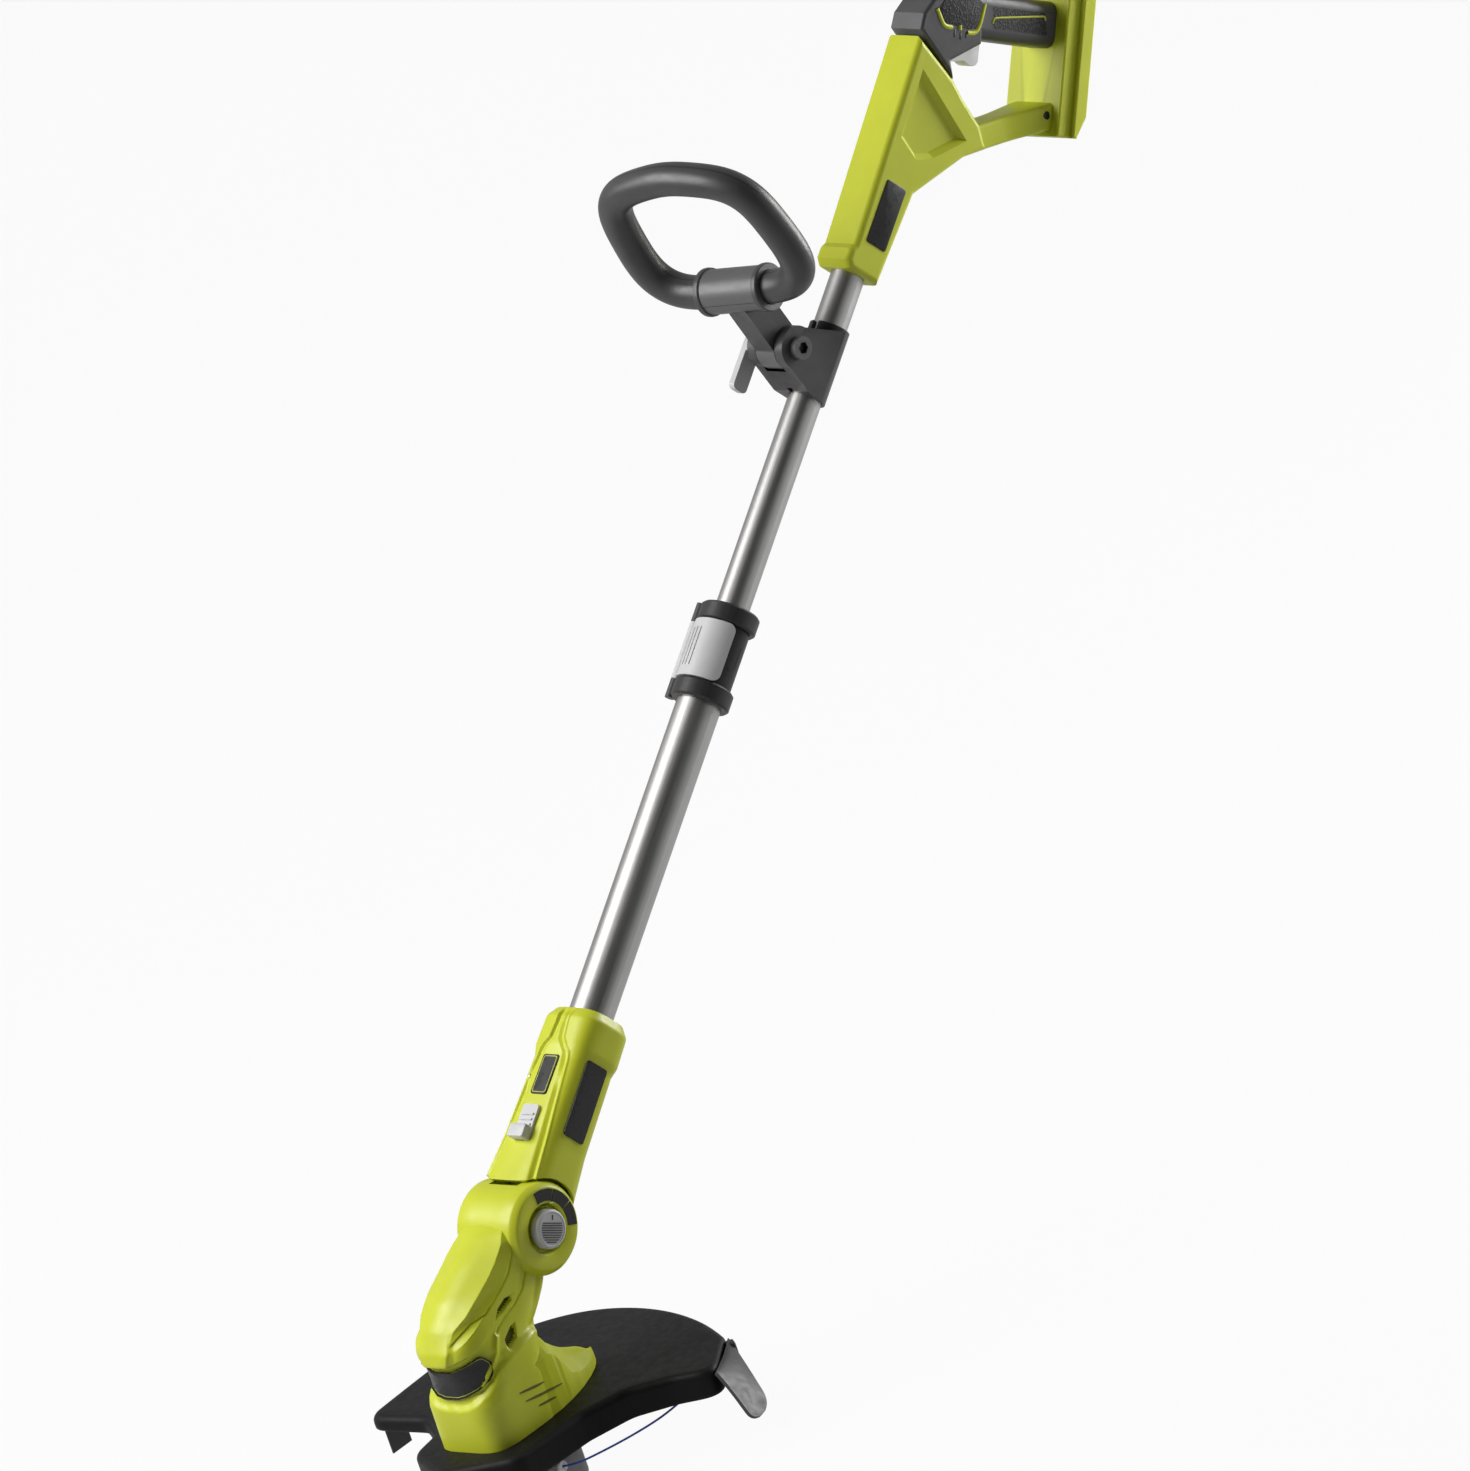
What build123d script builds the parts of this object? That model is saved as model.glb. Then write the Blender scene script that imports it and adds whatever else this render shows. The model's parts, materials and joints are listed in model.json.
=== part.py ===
from build123d import *
import os
from math import asin, atan2, cos, degrees, hypot, radians, sin, tan

# String trimmer in its working pose: the spool's flat foot rests at the origin,
# +Z is the spool axis, -Y is the front and +X is the user's left. Millimetres.

# Pose of the shaft
SHAFT_LEAN = 52.0
PIVOT_Y = 78.0
PIVOT_Z = 188.0

# Fits
SLIP = 0.15
RUN = 0.5
SHELL_WALL = 3.0

# Tubes and their bush
UPPER_TUBE_D = 25.0
TUBE_WALL = 1.5
BUSH_WALL = 2.5
LOWER_TUBE_BORE = UPPER_TUBE_D + 2 * BUSH_WALL
LOWER_TUBE_D = LOWER_TUBE_BORE + 2 * TUBE_WALL
BUSH_LENGTH = 30.0
TUBE_OVERLAP = 220.0

# Stations along the shaft, each measured from the one below it
NECK_LENGTH = 163.0
NECK_TO_CLAMP = 246.0
CLAMP_LENGTH = 73.5
CLAMP_TO_STRAP = 166.5
STRAP_LENGTH = 56.0
STRAP_TO_HANDLE = 41.0
TUBE_IN_HANDLE = 56.0
TUBE_IN_NECK = 93.0
TUBE_BELOW_CLAMP_TOP = 12.0
CLAMP_A = NECK_LENGTH + NECK_TO_CLAMP
CLAMP_TOP_A = CLAMP_A + CLAMP_LENGTH
STRAP_A = CLAMP_TOP_A + CLAMP_TO_STRAP
HANDLE_A = STRAP_A + STRAP_LENGTH + STRAP_TO_HANDLE
LOWER_TUBE_A = NECK_LENGTH - TUBE_IN_NECK
LOWER_TUBE_TOP_A = CLAMP_TOP_A - TUBE_BELOW_CLAMP_TOP
UPPER_TUBE_A = LOWER_TUBE_TOP_A - TUBE_OVERLAP
UPPER_TUBE_TOP_A = HANDLE_A + TUBE_IN_HANDLE

# Rear handle
COLUMN_HALF = UPPER_TUBE_D / 2 + 5.0
GRIP_TILT = 19.2
GRIP_HEIGHT = 34.0
GRIP_LENGTH = 66.0
GRIP_HALF = 16.5
GRIP_ORIGIN_B = 39.0
GRIP_ORIGIN_A = 204.0
STRUT_HALF = 13.0
DOCK_DEPTH = 24.0
DOCK_BELOW_GRIP = 63.0
DOCK_CHAMFER = 16.0
DOCK_ABOVE_GRIP = 58.0
DOCK_HALF = 32.0
DOCK_BODY_HALF = 28.0
DOCK_FLANGE = 12.0
FLANGE_ROUND = 1.5
DOCK_WALL = 7.0
DOCK_POCKET_DEPTH = 18.0
SCREW_HEAD_R = 3.4
SCREW_SHANK_R = 1.6
SCREW_SINK = 4.0
SCREW_HEAD = 2.2
COLUMN_SCREW_SPOTS = [(2, 80), (-18, 150), (56, 135)]
STRUT_SCREW_SPOTS = [(124, 184)]
GRIP_ROUND = 9.0
PAD_DEPTH = 1.5
EDGE_ROUND = 4.5
COLUMN_OUTLINE = [
    (2 - COLUMN_HALF, 0),
    (-COLUMN_HALF - 3, 5),
    (-COLUMN_HALF - 3, 14),
    (-COLUMN_HALF - 0.5, 18),
    (-COLUMN_HALF - 0.5, 22),
    (-COLUMN_HALF - 7, 179),
    (19.5, 165),
    (34, 157),
    (58.5, 146),
    (72, 133),
    (54.5, 119),
    (20, 74),
    (COLUMN_HALF - 2, 0),
]
PANEL_OUTLINE = [(-12.7, 158.8), (-10.9, 105.5), (10, 96.7), (24.9, 104.9), (50, 130)]
PANEL_DEPTH = 4.5
PANEL_SLOPE = 4.5
COLUMN_HOLLOW = [
    (-COLUMN_HALF - 2, TUBE_IN_HANDLE + 4),
    (-COLUMN_HALF - 3, 172),
    (12, 161),
    (40, 146),
    (46, 122),
    (14, 72),
]
STRUT_OUTLINE = [(46, 138), (58.5, 146), (125, 197.5), (137, 182), (104, 159), (54.5, 119)]
GRIP_FRONT_G = -38.0
CAP_OUTLINE = [
    (-35.0, -17.5),
    (-30.5, -30.3),
    (-68.0, 2.3),
    (-66.0, 14.0),
    (-56.0, 27.0),
    (-40.0, GRIP_HEIGHT),
    (-12.0, GRIP_HEIGHT),
    (-6.0, 4.0),
    (-6.0, -3.0),
]
CAP_ROUND = 2.5
GRIP_HOLLOW = [
    (-33, -10),
    (-58, 9),
    (-50, 22),
    (GRIP_FRONT_G, GRIP_HEIGHT - SHELL_WALL),
    (GRIP_LENGTH - SHELL_WALL, GRIP_HEIGHT - SHELL_WALL),
    (GRIP_LENGTH - SHELL_WALL, SHELL_WALL),
    (2, SHELL_WALL),
]
PAD_OUTLINE = [(4, 9), (1, 25), (54, 25), (58, 9)]
PAD_CORNER_R = 2.0
TERMINAL_HALF = 13.0
TERMINAL_LOW = -12.0
TERMINAL_HIGH = 22.0
TERMINAL_DEPTH = 8.0
BLADE_PITCH = 8.0
BLADE_HALF = 0.6
BLADE_REACH = 6.0

# Trigger and lock-off button, in the grip's own frame
TRIGGER_HALF = 6.0
TRIGGER_PIN_G = -26.0
TRIGGER_PIN_N = -5.0
TRIGGER_PIN_R = 2.0
TRIGGER_ROUND = 1.5
TRIGGER_OUTLINE = [(-30.5, -18.5), (-4, -19), (2, -7), (2, 8), (-16, 8), (-30.5, 0)]
TRIGGER_SLOT_FRONT = -32.5
TRIGGER_SLOT_BACK = 4.0
TRIGGER_SLOT_LOW = -40.0
TRIGGER_SLOT_HIGH = 12.0
SWITCH_G = 9.0
SWITCH_LENGTH = 24.0
SWITCH_HALF = 9.0
SWITCH_HEAD_ROOM = 6.0
PLUNGER_REACH = 3.5
PLUNGER_HALF = 5.0
PLUNGER_LOW = 6.0
BOARD_G = 36.0
BOARD_LENGTH = 26.0
BOARD_HALF = 10.0
BOARD_HEIGHT = 8.0
LOCK_HALF_WIDTH = 5.5
LOCK_FRONT_G = -13.0
LOCK_LENGTH = 18.0
LOCK_RISE = 3.5
LOCK_FLANGE = 2.0
LOCK_FLANGE_DEPTH = 7.5
LOCK_ROUND = 1.5

# Tube bracket, its bolt and cam lever
STRAP_WALL = 2.5
EAR_THICKNESS = 8.0
TILT_AXIS_FORWARD = 39.0
TILT_AXIS_UP = 24.0
BOSS_R = 16.0
BOLT_R = 4.0
BOLT_HEAD_R = 8.5
BOLT_HEAD_HEIGHT = 6.0
BOLT_SOCKET_R = 4.6
BOLT_SOCKET_DEPTH = 3.5
BOLT_TAIL = 3.2
EAR_TOP = 30.0
EAR_TOE = 24.0
STEM_SWING_GAP = 2.0
STEM_HALF = 9.5
CAM_PIN_R = 1.8
CAM_R = 6.5
CAM_LEVER_LENGTH = 36.0
CAM_LEVER_HALF = 7.0
CAM_LEVER_WALL = 5.0
CAM_LEVER_END_R = 4.0

# Loop handle
LOOP_TUBE_R = 12.5
LOOP_WALL = 3.0
LOOP_HALF_WIDTH = 74.0
LOOP_SHOULDER_HALF = 65.0
LOOP_SHOULDER = 99.0
LOOP_HEIGHT = 111.5
LOOP_CORNER_R = 34.0
LOOP_LIFT = 22.0
LOOP_SKEW = 8.5
STEM_FORWARD = 55.5
STEM_UP = 20.0
CRADLE_R = 16.5
CRADLE_LENGTH = 58.0
STEM_INSET = 3.0

# Telescope clamp
CLAMP_RING_R = LOWER_TUBE_D / 2 + 5.5
CLAMP_RING_HEIGHT = 14.0
CLAMP_SLEEVE_R = LOWER_TUBE_D / 2 + 2.0
CLAMP_LEVER_WALL = 3.2
CLAMP_LEVER_CORNER_R = 6.0
CLAMP_LEVER_FREE_ANGLE = -21.0
CLAMP_HINGE_ANGLE = -155.0
CLAMP_PIN_R = 1.8
CLAMP_KNUCKLE_R = 3.6
CLAMP_HINGE_PROUD = 1.5
CLAMP_PIN_INSET = 3.0
CLAMP_BEVEL = 1.6

# Neck that swivels round the lower tube
NECK_HALF = LOWER_TUBE_D / 2 + 9.0
NECK_HALF_DEPTH = LOWER_TUBE_D / 2 + 6.0
NECK_COLLAR_GROW = 2.0
NECK_COLLAR_LENGTH = 30.0
NECK_FOOT_GROW = 4.5
NECK_FOOT_A = 14.0
NECK_WAIST_A = 62.0
NECK_WAIST_GROW = 1.0
NECK_COLLAR_RAMP = 8.0
NECK_LIP = 4.5
NECK_CORNER_R = 13.0
FLANGE_LIP = 1.6
FLANGE_HEIGHT = 10.0
LATCH_A = 71.0
LATCH_HALF = 8.0
LATCH_LENGTH = 28.0
LATCH_TRAVEL = 8.0
LATCH_STEM_HALF = 4.0
LATCH_PLATE = 3.0
LATCH_MARGIN = 2.0
LATCH_CORNER_R = 3.0
LATCH_RIDGES = 4
LATCH_RIDGE_PITCH = 4.0
LATCH_RIDGE_HALF = 0.8
LATCH_RIDGE_HEIGHT = 1.0
NECK_SCREW_SPOTS = [(20, 62), (20, 104), (-18.8, 108)]
NECK_SCREW_HALF = 16.0
NECK_CORE_R = 13.0
NECK_CORE_A = 30.0

# Head pivot
DRUM_R = 34.0
DRUM_HALF = 31.0
HUB_R = 22.0
HUB_HALF = 14.0
TONGUE_HALF_DEPTH = 8.5
TILT_RANGE = 25.0
SLOT_SPARE = 3.0
AXLE_R = 5.0
BUTTON_R = 14.5
BUTTON_PROUD = 5.5
BUTTON_TRAVEL = 3.0
BUTTON_POCKET_X = 23.0
BUTTON_BEVEL = 1.5
BUTTON_SPRING_R = 9.0
BUTTON_SPRING_WIRE = 2.0
BUTTON_SPRING_LENGTH = 1.5

# Motor housing
HOUSING_Z = 66.0
NOSE_FRONT = 36.0
NOSE_HALF = 35.0
TAIL_REACH = 102.0
TAIL_R = 12.0
TAIL_HEIGHT = 24.0
TAIL_TIP_HEIGHT = 10.0
DRUM_BEVEL = 3.5
COWL_SPLIT_Y = 8.0
COWL_TOP_Z = 168.0
VISOR_RISE = 51.0
MOTOR_R = 23.0
MOTOR_LENGTH = 62.0
MOTOR_BEVEL = 2.0
SHAFT_R = 4.0
SHAFT_IN_MOTOR = 20.0
BEARING_R = 11.0

# Guard
GUARD_PLATE = 3.5
GUARD_WALL = 3.0
GUARD_DEPTH = 23.0
GUARD_EDGE_R = 3.0
FLAP_DROP = 40.0
FLAP_FLARE = 26.0
FLAP_ROOT = [(119, 103), (123, 104), (121, 131), (117, 130)]
FLAP_EDGE = [(119, 103), (122, 104), (118, 127), (115, 126)]
GUARD_ARM_X = -72.0
GUARD_ARM_REACH = 56.0
GUARD_ARM_DEPTH = 12.0
CUTTER_X = -140.0
CUTTER_Y = 14.0
CUTTER_WIDTH = 20.0
CUTTER_DROP = 32.0
CUTTER_THICKNESS = 1.2
GUARD_SCREW_R = 28.0
GUARD_SCREWS = 3
GUARD_SCREW_ANGLE = 30.0
GUARD_CORNER_R = 13.0
GUARD_POINTS = [
    (-52, -42),
    (0, -68),
    (54, -40),
    (57, 28),
    (68, 64),
    (93, 86),
    (124, 103),
    (122, 132),
    (86, 154),
    (46, 174),
    (0, 186),
    (-44, 188),
    (-84, 178),
    (-114, 154),
    (-152, 88),
    (-146, 4),
    (-84, 6),
    (-58, -12),
]

# Spool and line
SPOOL_R = 50.0
SPOOL_WALL = 4.0
SPOOL_TOP_Z = 57.0
SPOOL_JOIN_Z = 20.0
FOOT_R = 26.0
EYELET_Z = 38.0
EYELET_R = 4.3
EYELET_PROUD = 2.5
LINE_D = 1.6
LINE_BEND_SHARE = 0.45
BOBBIN_CORE_R = 14.0
BOBBIN_FLANGE_R = 43.0
BOBBIN_FLANGE = 2.5
BOBBIN_CORE_WALL = 3.0
WINDING_R = 36.0
SPOOL_ROUND = 5.0
SHAFT_IN_SPOOL = 12.0
EYELET_RIM = 1.2
CAP_FLOOR = 6.0
CAP_SLOPE = 9.0
CAP_WALL = 14.0
SPRING_R = 18.0
SPRING_WIRE = 3.0
LINE_POINTS = [
    (47.0, 0.0, EYELET_Z),
    (60.0, 0.0, EYELET_Z),
    (71.0, 34.0, EYELET_Z - 1.0),
    (77.0, 63.0, EYELET_Z - 1.5),
    (78.0, 89.0, EYELET_Z - 2.0),
    (73.0, 114.0, EYELET_Z - 2.5),
]

SHAFT = Location((0, PIVOT_Y, PIVOT_Z), (-SHAFT_LEAN, 0, 0))
HANDLE = SHAFT * Location((0, 0, HANDLE_A))
GRIP = HANDLE * Location((0, GRIP_ORIGIN_B, GRIP_ORIGIN_A), (GRIP_TILT, 0, 0))
TILT_AXIS = SHAFT * Location((0, -TILT_AXIS_FORWARD, STRAP_A + TILT_AXIS_UP))
TO_LOOP = Location((0, -STEM_FORWARD, STEM_UP), (-LOOP_LIFT, 0, 0)) * Location((0, 0, 0), (0, -LOOP_SKEW, 0))


def side_prism(points, half, corner=0.0):
    """Solid with a side outline of (y, z) points, reaching half to each side of X = 0."""
    outline = Polygon(*points, align=None)
    if corner > 0:
        outline = fillet(outline.vertices(), corner)
    return extrude(Plane.YZ * outline, amount=half, both=True)


def round_ends(solid, radius):
    """Rounds the rims of the two faces that look along X."""
    ends = solid.faces().sort_by(Axis.X)
    return fillet(ends[0].edges() + ends[-1].edges(), radius)


def block(x0, x1, y0, y1, z0, z1):
    """Box between two corners."""
    place = Pos((x0 + x1) / 2, (y0 + y1) / 2, (z0 + z1) / 2)
    return place * Box(x1 - x0, y1 - y0, z1 - z0)


def rod(radius, z0, z1):
    """Round bar along Z."""
    return Pos(0, 0, z0) * Cylinder(radius, z1 - z0, align=(Align.CENTER, Align.CENTER, Align.MIN))


def pipe(outer, inner, z0, z1):
    """Hollow round bar along Z."""
    return rod(outer, z0, z1) - rod(inner, z0 - 1, z1 + 1)


def cross_rod(radius, x0, x1, y=0.0, z=0.0):
    """Round bar along X."""
    bar = Rot(0, 90, 0) * rod(radius, x0, x1)
    return Pos(0, y, z) * bar


def halves(solid):
    """Left and right halves of a shell that is parted at X = 0."""
    left = split(solid, Plane.YZ, keep=Keep.TOP)
    right = split(solid, Plane.YZ, keep=Keep.BOTTOM)
    return left, right


def lofted(sections, ruled=False):
    """Loft through rounded rectangles given as (z, y_front, y_back, half_width, corner)."""
    faces = []
    for z, front, back, half, corner in sections:
        outline = RectangleRounded(2 * half, back - front, corner)
        faces.append(Pos(0, (front + back) / 2, z) * outline)
    return loft(faces, ruled=ruled)


def shrunk(sections, wall):
    """The same sections drawn in by a wall."""
    return [(z, f + wall, b - wall, h - wall, max(c - wall, 2.0)) for z, f, b, h, c in sections]


def screw(x_head, x_tip, y, z):
    """Pan-head screw along X, with its head at x_head."""
    outward = SCREW_HEAD if x_head > x_tip else -SCREW_HEAD
    head = cross_rod(SCREW_HEAD_R, min(x_head, x_head + outward), max(x_head, x_head + outward), y, z)
    shank = cross_rod(SCREW_SHANK_R, min(x_head, x_tip), max(x_head, x_tip), y, z)
    return head + shank


nodes = {}

# Rear handle: its green shells, in the handle's frame
column_solid = round_ends(side_prism(COLUMN_OUTLINE, COLUMN_HALF), EDGE_ROUND)
strut_solid = round_ends(side_prism(STRUT_OUTLINE, STRUT_HALF), EDGE_ROUND)
dock_outline = [
    (GRIP_LENGTH, -DOCK_BELOW_GRIP),
    (GRIP_LENGTH, DOCK_ABOVE_GRIP),
    (GRIP_LENGTH + DOCK_DEPTH, DOCK_ABOVE_GRIP),
    (GRIP_LENGTH + DOCK_DEPTH, DOCK_CHAMFER - DOCK_BELOW_GRIP),
    (GRIP_LENGTH + DOCK_DEPTH - DOCK_CHAMFER / 2, -DOCK_BELOW_GRIP),
]
flange_front = GRIP_LENGTH + DOCK_DEPTH - DOCK_FLANGE
flange_outline = [
    (flange_front, -DOCK_BELOW_GRIP),
    (flange_front, DOCK_ABOVE_GRIP),
    *dock_outline[2:],
]
dock_flange = round_ends(side_prism(flange_outline, DOCK_HALF), FLANGE_ROUND)
dock_solid = round_ends(side_prism(dock_outline, DOCK_BODY_HALF), FLANGE_ROUND) + dock_flange
pocket_floor_g = GRIP_LENGTH + DOCK_DEPTH - DOCK_POCKET_DEPTH
dock_pocket = block(
    DOCK_WALL - DOCK_HALF,
    DOCK_HALF - DOCK_WALL,
    pocket_floor_g,
    GRIP_LENGTH + DOCK_DEPTH + 1,
    DOCK_WALL + DOCK_CHAMFER - DOCK_BELOW_GRIP,
    DOCK_ABOVE_GRIP - DOCK_WALL,
)
to_handle = Location((0, GRIP_ORIGIN_B, GRIP_ORIGIN_A), (GRIP_TILT, 0, 0))
green = column_solid + strut_solid + to_handle * (dock_solid - dock_pocket)

# Hollow of the column, with a round socket for the tube below it
tube_socket = rod(UPPER_TUBE_D / 2 + SLIP, -1, TUBE_IN_HANDLE)
column_hollow = side_prism(COLUMN_HOLLOW, COLUMN_HALF - SHELL_WALL - PANEL_DEPTH)
green = green - tube_socket - column_hollow

# Shallow panel with sloping walls in each side of the web
panel_rim = Polygon(*PANEL_OUTLINE, align=None)
panel_floor = offset(panel_rim, -PANEL_SLOPE, kind=Kind.INTERSECTION)
for side in (-1, 1):
    rim_plane = Plane.YZ.offset(side * COLUMN_HALF)
    floor_plane = Plane.YZ.offset(side * (COLUMN_HALF - PANEL_DEPTH))
    green = green - loft([rim_plane * panel_rim, floor_plane * panel_floor])

# Grey shells of the cap and grip, in the grip's frame
grip_outline = [
    (GRIP_FRONT_G, 0),
    (GRIP_FRONT_G, GRIP_HEIGHT),
    (GRIP_LENGTH, GRIP_HEIGHT),
    (GRIP_LENGTH, 0),
]
grip_bar = side_prism(grip_outline, GRIP_HALF)
grip_bar = fillet(grip_bar.edges().filter_by(Axis.Y), GRIP_ROUND)
cap_bar = round_ends(side_prism(CAP_OUTLINE, GRIP_HALF), CAP_ROUND)
grip_hollow = side_prism(GRIP_HOLLOW, GRIP_HALF - SHELL_WALL - PAD_DEPTH)
trigger_slot = block(
    -TRIGGER_HALF - RUN,
    TRIGGER_HALF + RUN,
    TRIGGER_SLOT_FRONT,
    TRIGGER_SLOT_BACK,
    TRIGGER_SLOT_LOW,
    TRIGGER_SLOT_HIGH,
)
lock_slot = block(
    -LOCK_HALF_WIDTH - RUN,
    LOCK_HALF_WIDTH + RUN,
    LOCK_FRONT_G - RUN,
    LOCK_FRONT_G + LOCK_LENGTH + RUN,
    GRIP_HEIGHT - SHELL_WALL - 1,
    GRIP_HEIGHT + 5,
)
pin_reach = GRIP_HALF - SHELL_WALL
pin_bore = cross_rod(TRIGGER_PIN_R + SLIP, -pin_reach, pin_reach, TRIGGER_PIN_G, TRIGGER_PIN_N)
pad_bar = side_prism(PAD_OUTLINE, GRIP_HALF, PAD_CORNER_R)
pads = pad_bar - side_prism(PAD_OUTLINE, GRIP_HALF - PAD_DEPTH, PAD_CORNER_R)
grey = grip_bar + cap_bar - grip_hollow - trigger_slot - lock_slot - pin_bore - pads
grey = grey - (to_handle.inverse() * (column_solid + to_handle * dock_solid))

# Screws close the green shells from the user's right
screw_spots = [(COLUMN_HALF, *spot) for spot in COLUMN_SCREW_SPOTS]
screw_spots += [(STRUT_HALF, *spot) for spot in STRUT_SCREW_SPOTS]
screw_solids = []
for half, y, z in screw_spots:
    recess = cross_rod(SCREW_HEAD_R + SLIP, -half - 1, SCREW_SINK - half, y, z)
    hole = cross_rod(SCREW_SHANK_R + SLIP, -half, half - SHELL_WALL, y, z)
    green = green - recess - hole
    screw_solids.append(screw(SCREW_SINK - half, half - SHELL_WALL - 1, y, z))
nodes["handle_screws"] = HANDLE * Compound(screw_solids)

left, right = halves(green)
nodes["handle_shell_left"] = HANDLE * left
nodes["handle_shell_right"] = HANDLE * right
left, right = halves(grey)
nodes["grip_shell_left"] = GRIP * left
nodes["grip_shell_right"] = GRIP * right
left, right = halves(pads)
nodes["grip_pad_left"] = GRIP * left
nodes["grip_pad_right"] = GRIP * right

# Trigger and its pin, the switch, its board and the lock-off button
trigger = side_prism(TRIGGER_OUTLINE, TRIGGER_HALF)
trigger = fillet(trigger.edges().filter_by(Axis.X), TRIGGER_ROUND)
trigger = trigger - pin_bore
nodes["trigger"] = GRIP * trigger
trigger_pin = cross_rod(TRIGGER_PIN_R, -pin_reach, pin_reach, TRIGGER_PIN_G, TRIGGER_PIN_N)
nodes["trigger_pin"] = GRIP * trigger_pin
switch_top = GRIP_HEIGHT - SHELL_WALL - SWITCH_HEAD_ROOM
switch_body = block(-SWITCH_HALF, SWITCH_HALF, SWITCH_G, SWITCH_G + SWITCH_LENGTH, SHELL_WALL, switch_top)
plunger_low = SHELL_WALL + PLUNGER_LOW
switch_body = switch_body + block(
    -PLUNGER_HALF,
    PLUNGER_HALF,
    SWITCH_G - PLUNGER_REACH,
    SWITCH_G,
    plunger_low,
    plunger_low + PLUNGER_HALF,
)
nodes["switch_body"] = GRIP * switch_body
board_top = SHELL_WALL + BOARD_HEIGHT
board = block(-BOARD_HALF, BOARD_HALF, BOARD_G, BOARD_G + BOARD_LENGTH, SHELL_WALL, board_top)
nodes["control_board"] = GRIP * board
lock_back = LOCK_FRONT_G + LOCK_LENGTH
flange_low = GRIP_HEIGHT - LOCK_FLANGE_DEPTH
flange_high = GRIP_HEIGHT - SHELL_WALL - RUN
lock_button = block(
    -LOCK_HALF_WIDTH,
    LOCK_HALF_WIDTH,
    LOCK_FRONT_G,
    lock_back,
    flange_low,
    GRIP_HEIGHT + LOCK_RISE,
)
lock_button = fillet(lock_button.faces().sort_by(Axis.Z)[-1].edges(), LOCK_ROUND)
lock_button = lock_button + block(
    -LOCK_HALF_WIDTH - LOCK_FLANGE,
    LOCK_HALF_WIDTH + LOCK_FLANGE,
    LOCK_FRONT_G - LOCK_FLANGE,
    lock_back + LOCK_FLANGE,
    flange_low,
    flange_high,
)
nodes["lock_off_button"] = GRIP * lock_button

# Battery terminals stand on the floor of the dock's pocket
blade_g = pocket_floor_g + TERMINAL_DEPTH
terminals = block(
    -TERMINAL_HALF,
    TERMINAL_HALF,
    pocket_floor_g,
    blade_g,
    TERMINAL_LOW,
    TERMINAL_HIGH,
)
for x in (-BLADE_PITCH, 0, BLADE_PITCH):
    blade = block(
        x - BLADE_HALF,
        x + BLADE_HALF,
        blade_g,
        blade_g + BLADE_REACH,
        TERMINAL_LOW + BLADE_PITCH,
        TERMINAL_HIGH - BLADE_PITCH,
    )
    terminals = terminals + blade
nodes["battery_terminals"] = GRIP * terminals

# Tubes and bushes
nodes["upper_tube"] = SHAFT * pipe(
    UPPER_TUBE_D / 2, UPPER_TUBE_D / 2 - TUBE_WALL, UPPER_TUBE_A, UPPER_TUBE_TOP_A
)
nodes["guide_bush"] = SHAFT * pipe(
    LOWER_TUBE_BORE / 2 - RUN / 2, UPPER_TUBE_D / 2, UPPER_TUBE_A, UPPER_TUBE_A + BUSH_LENGTH
)
nodes["lower_tube"] = SHAFT * pipe(
    LOWER_TUBE_D / 2, LOWER_TUBE_BORE / 2, LOWER_TUBE_A, LOWER_TUBE_TOP_A
)
nodes["top_bush"] = SHAFT * pipe(
    LOWER_TUBE_BORE / 2,
    UPPER_TUBE_D / 2 + RUN / 2,
    LOWER_TUBE_TOP_A - BUSH_LENGTH,
    LOWER_TUBE_TOP_A,
)
nodes["swivel_flange"] = SHAFT * pipe(
    LOWER_TUBE_D / 2 + FLANGE_LIP, LOWER_TUBE_D / 2, LOWER_TUBE_A, LOWER_TUBE_A + FLANGE_HEIGHT
)

# Telescope clamp: collar with two rings, lever and hinge pin
hinge_r = CLAMP_RING_R + CLAMP_HINGE_PROUD
hinge_x = hinge_r * cos(radians(CLAMP_HINGE_ANGLE))
hinge_y = hinge_r * sin(radians(CLAMP_HINGE_ANGLE))
hinge = Pos(hinge_x, hinge_y, 0)
ring_top = CLAMP_LENGTH - CLAMP_RING_HEIGHT
collar = rod(CLAMP_SLEEVE_R, 0, CLAMP_LENGTH)
for start in (0, ring_top):
    ring = rod(CLAMP_RING_R, start, start + CLAMP_RING_HEIGHT)
    ring = chamfer(ring.edges().filter_by(GeomType.CIRCLE), CLAMP_BEVEL)
    collar = collar + ring + hinge * rod(CLAMP_KNUCKLE_R, start, start + CLAMP_RING_HEIGHT)
collar = collar - rod(LOWER_TUBE_D / 2 + SLIP, -1, CLAMP_LENGTH - TUBE_BELOW_CLAMP_TOP)
collar = collar - rod(UPPER_TUBE_D / 2 + RUN, 0, CLAMP_LENGTH + 1)
pin_top = CLAMP_LENGTH - CLAMP_PIN_INSET
collar = collar - hinge * rod(CLAMP_PIN_R + SLIP, CLAMP_PIN_INSET, pin_top)
to_clamp = SHAFT * Pos(0, 0, CLAMP_A)
nodes["clamp_collar"] = to_clamp * collar
nodes["clamp_pin"] = to_clamp * hinge * rod(CLAMP_PIN_R, CLAMP_PIN_INSET, pin_top)
lever_bottom = CLAMP_RING_HEIGHT + RUN
lever_top = ring_top - RUN
lever_in = CLAMP_SLEEVE_R + RUN
lever_out = lever_in + CLAMP_LEVER_WALL
lever_spot = Pos((lever_in + lever_out) / 2, (lever_bottom + lever_top) / 2)
lever_section = Plane.XZ * lever_spot * Rectangle(CLAMP_LEVER_WALL, lever_top - lever_bottom)
lever_arc = CLAMP_LEVER_FREE_ANGLE - CLAMP_HINGE_ANGLE
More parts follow.
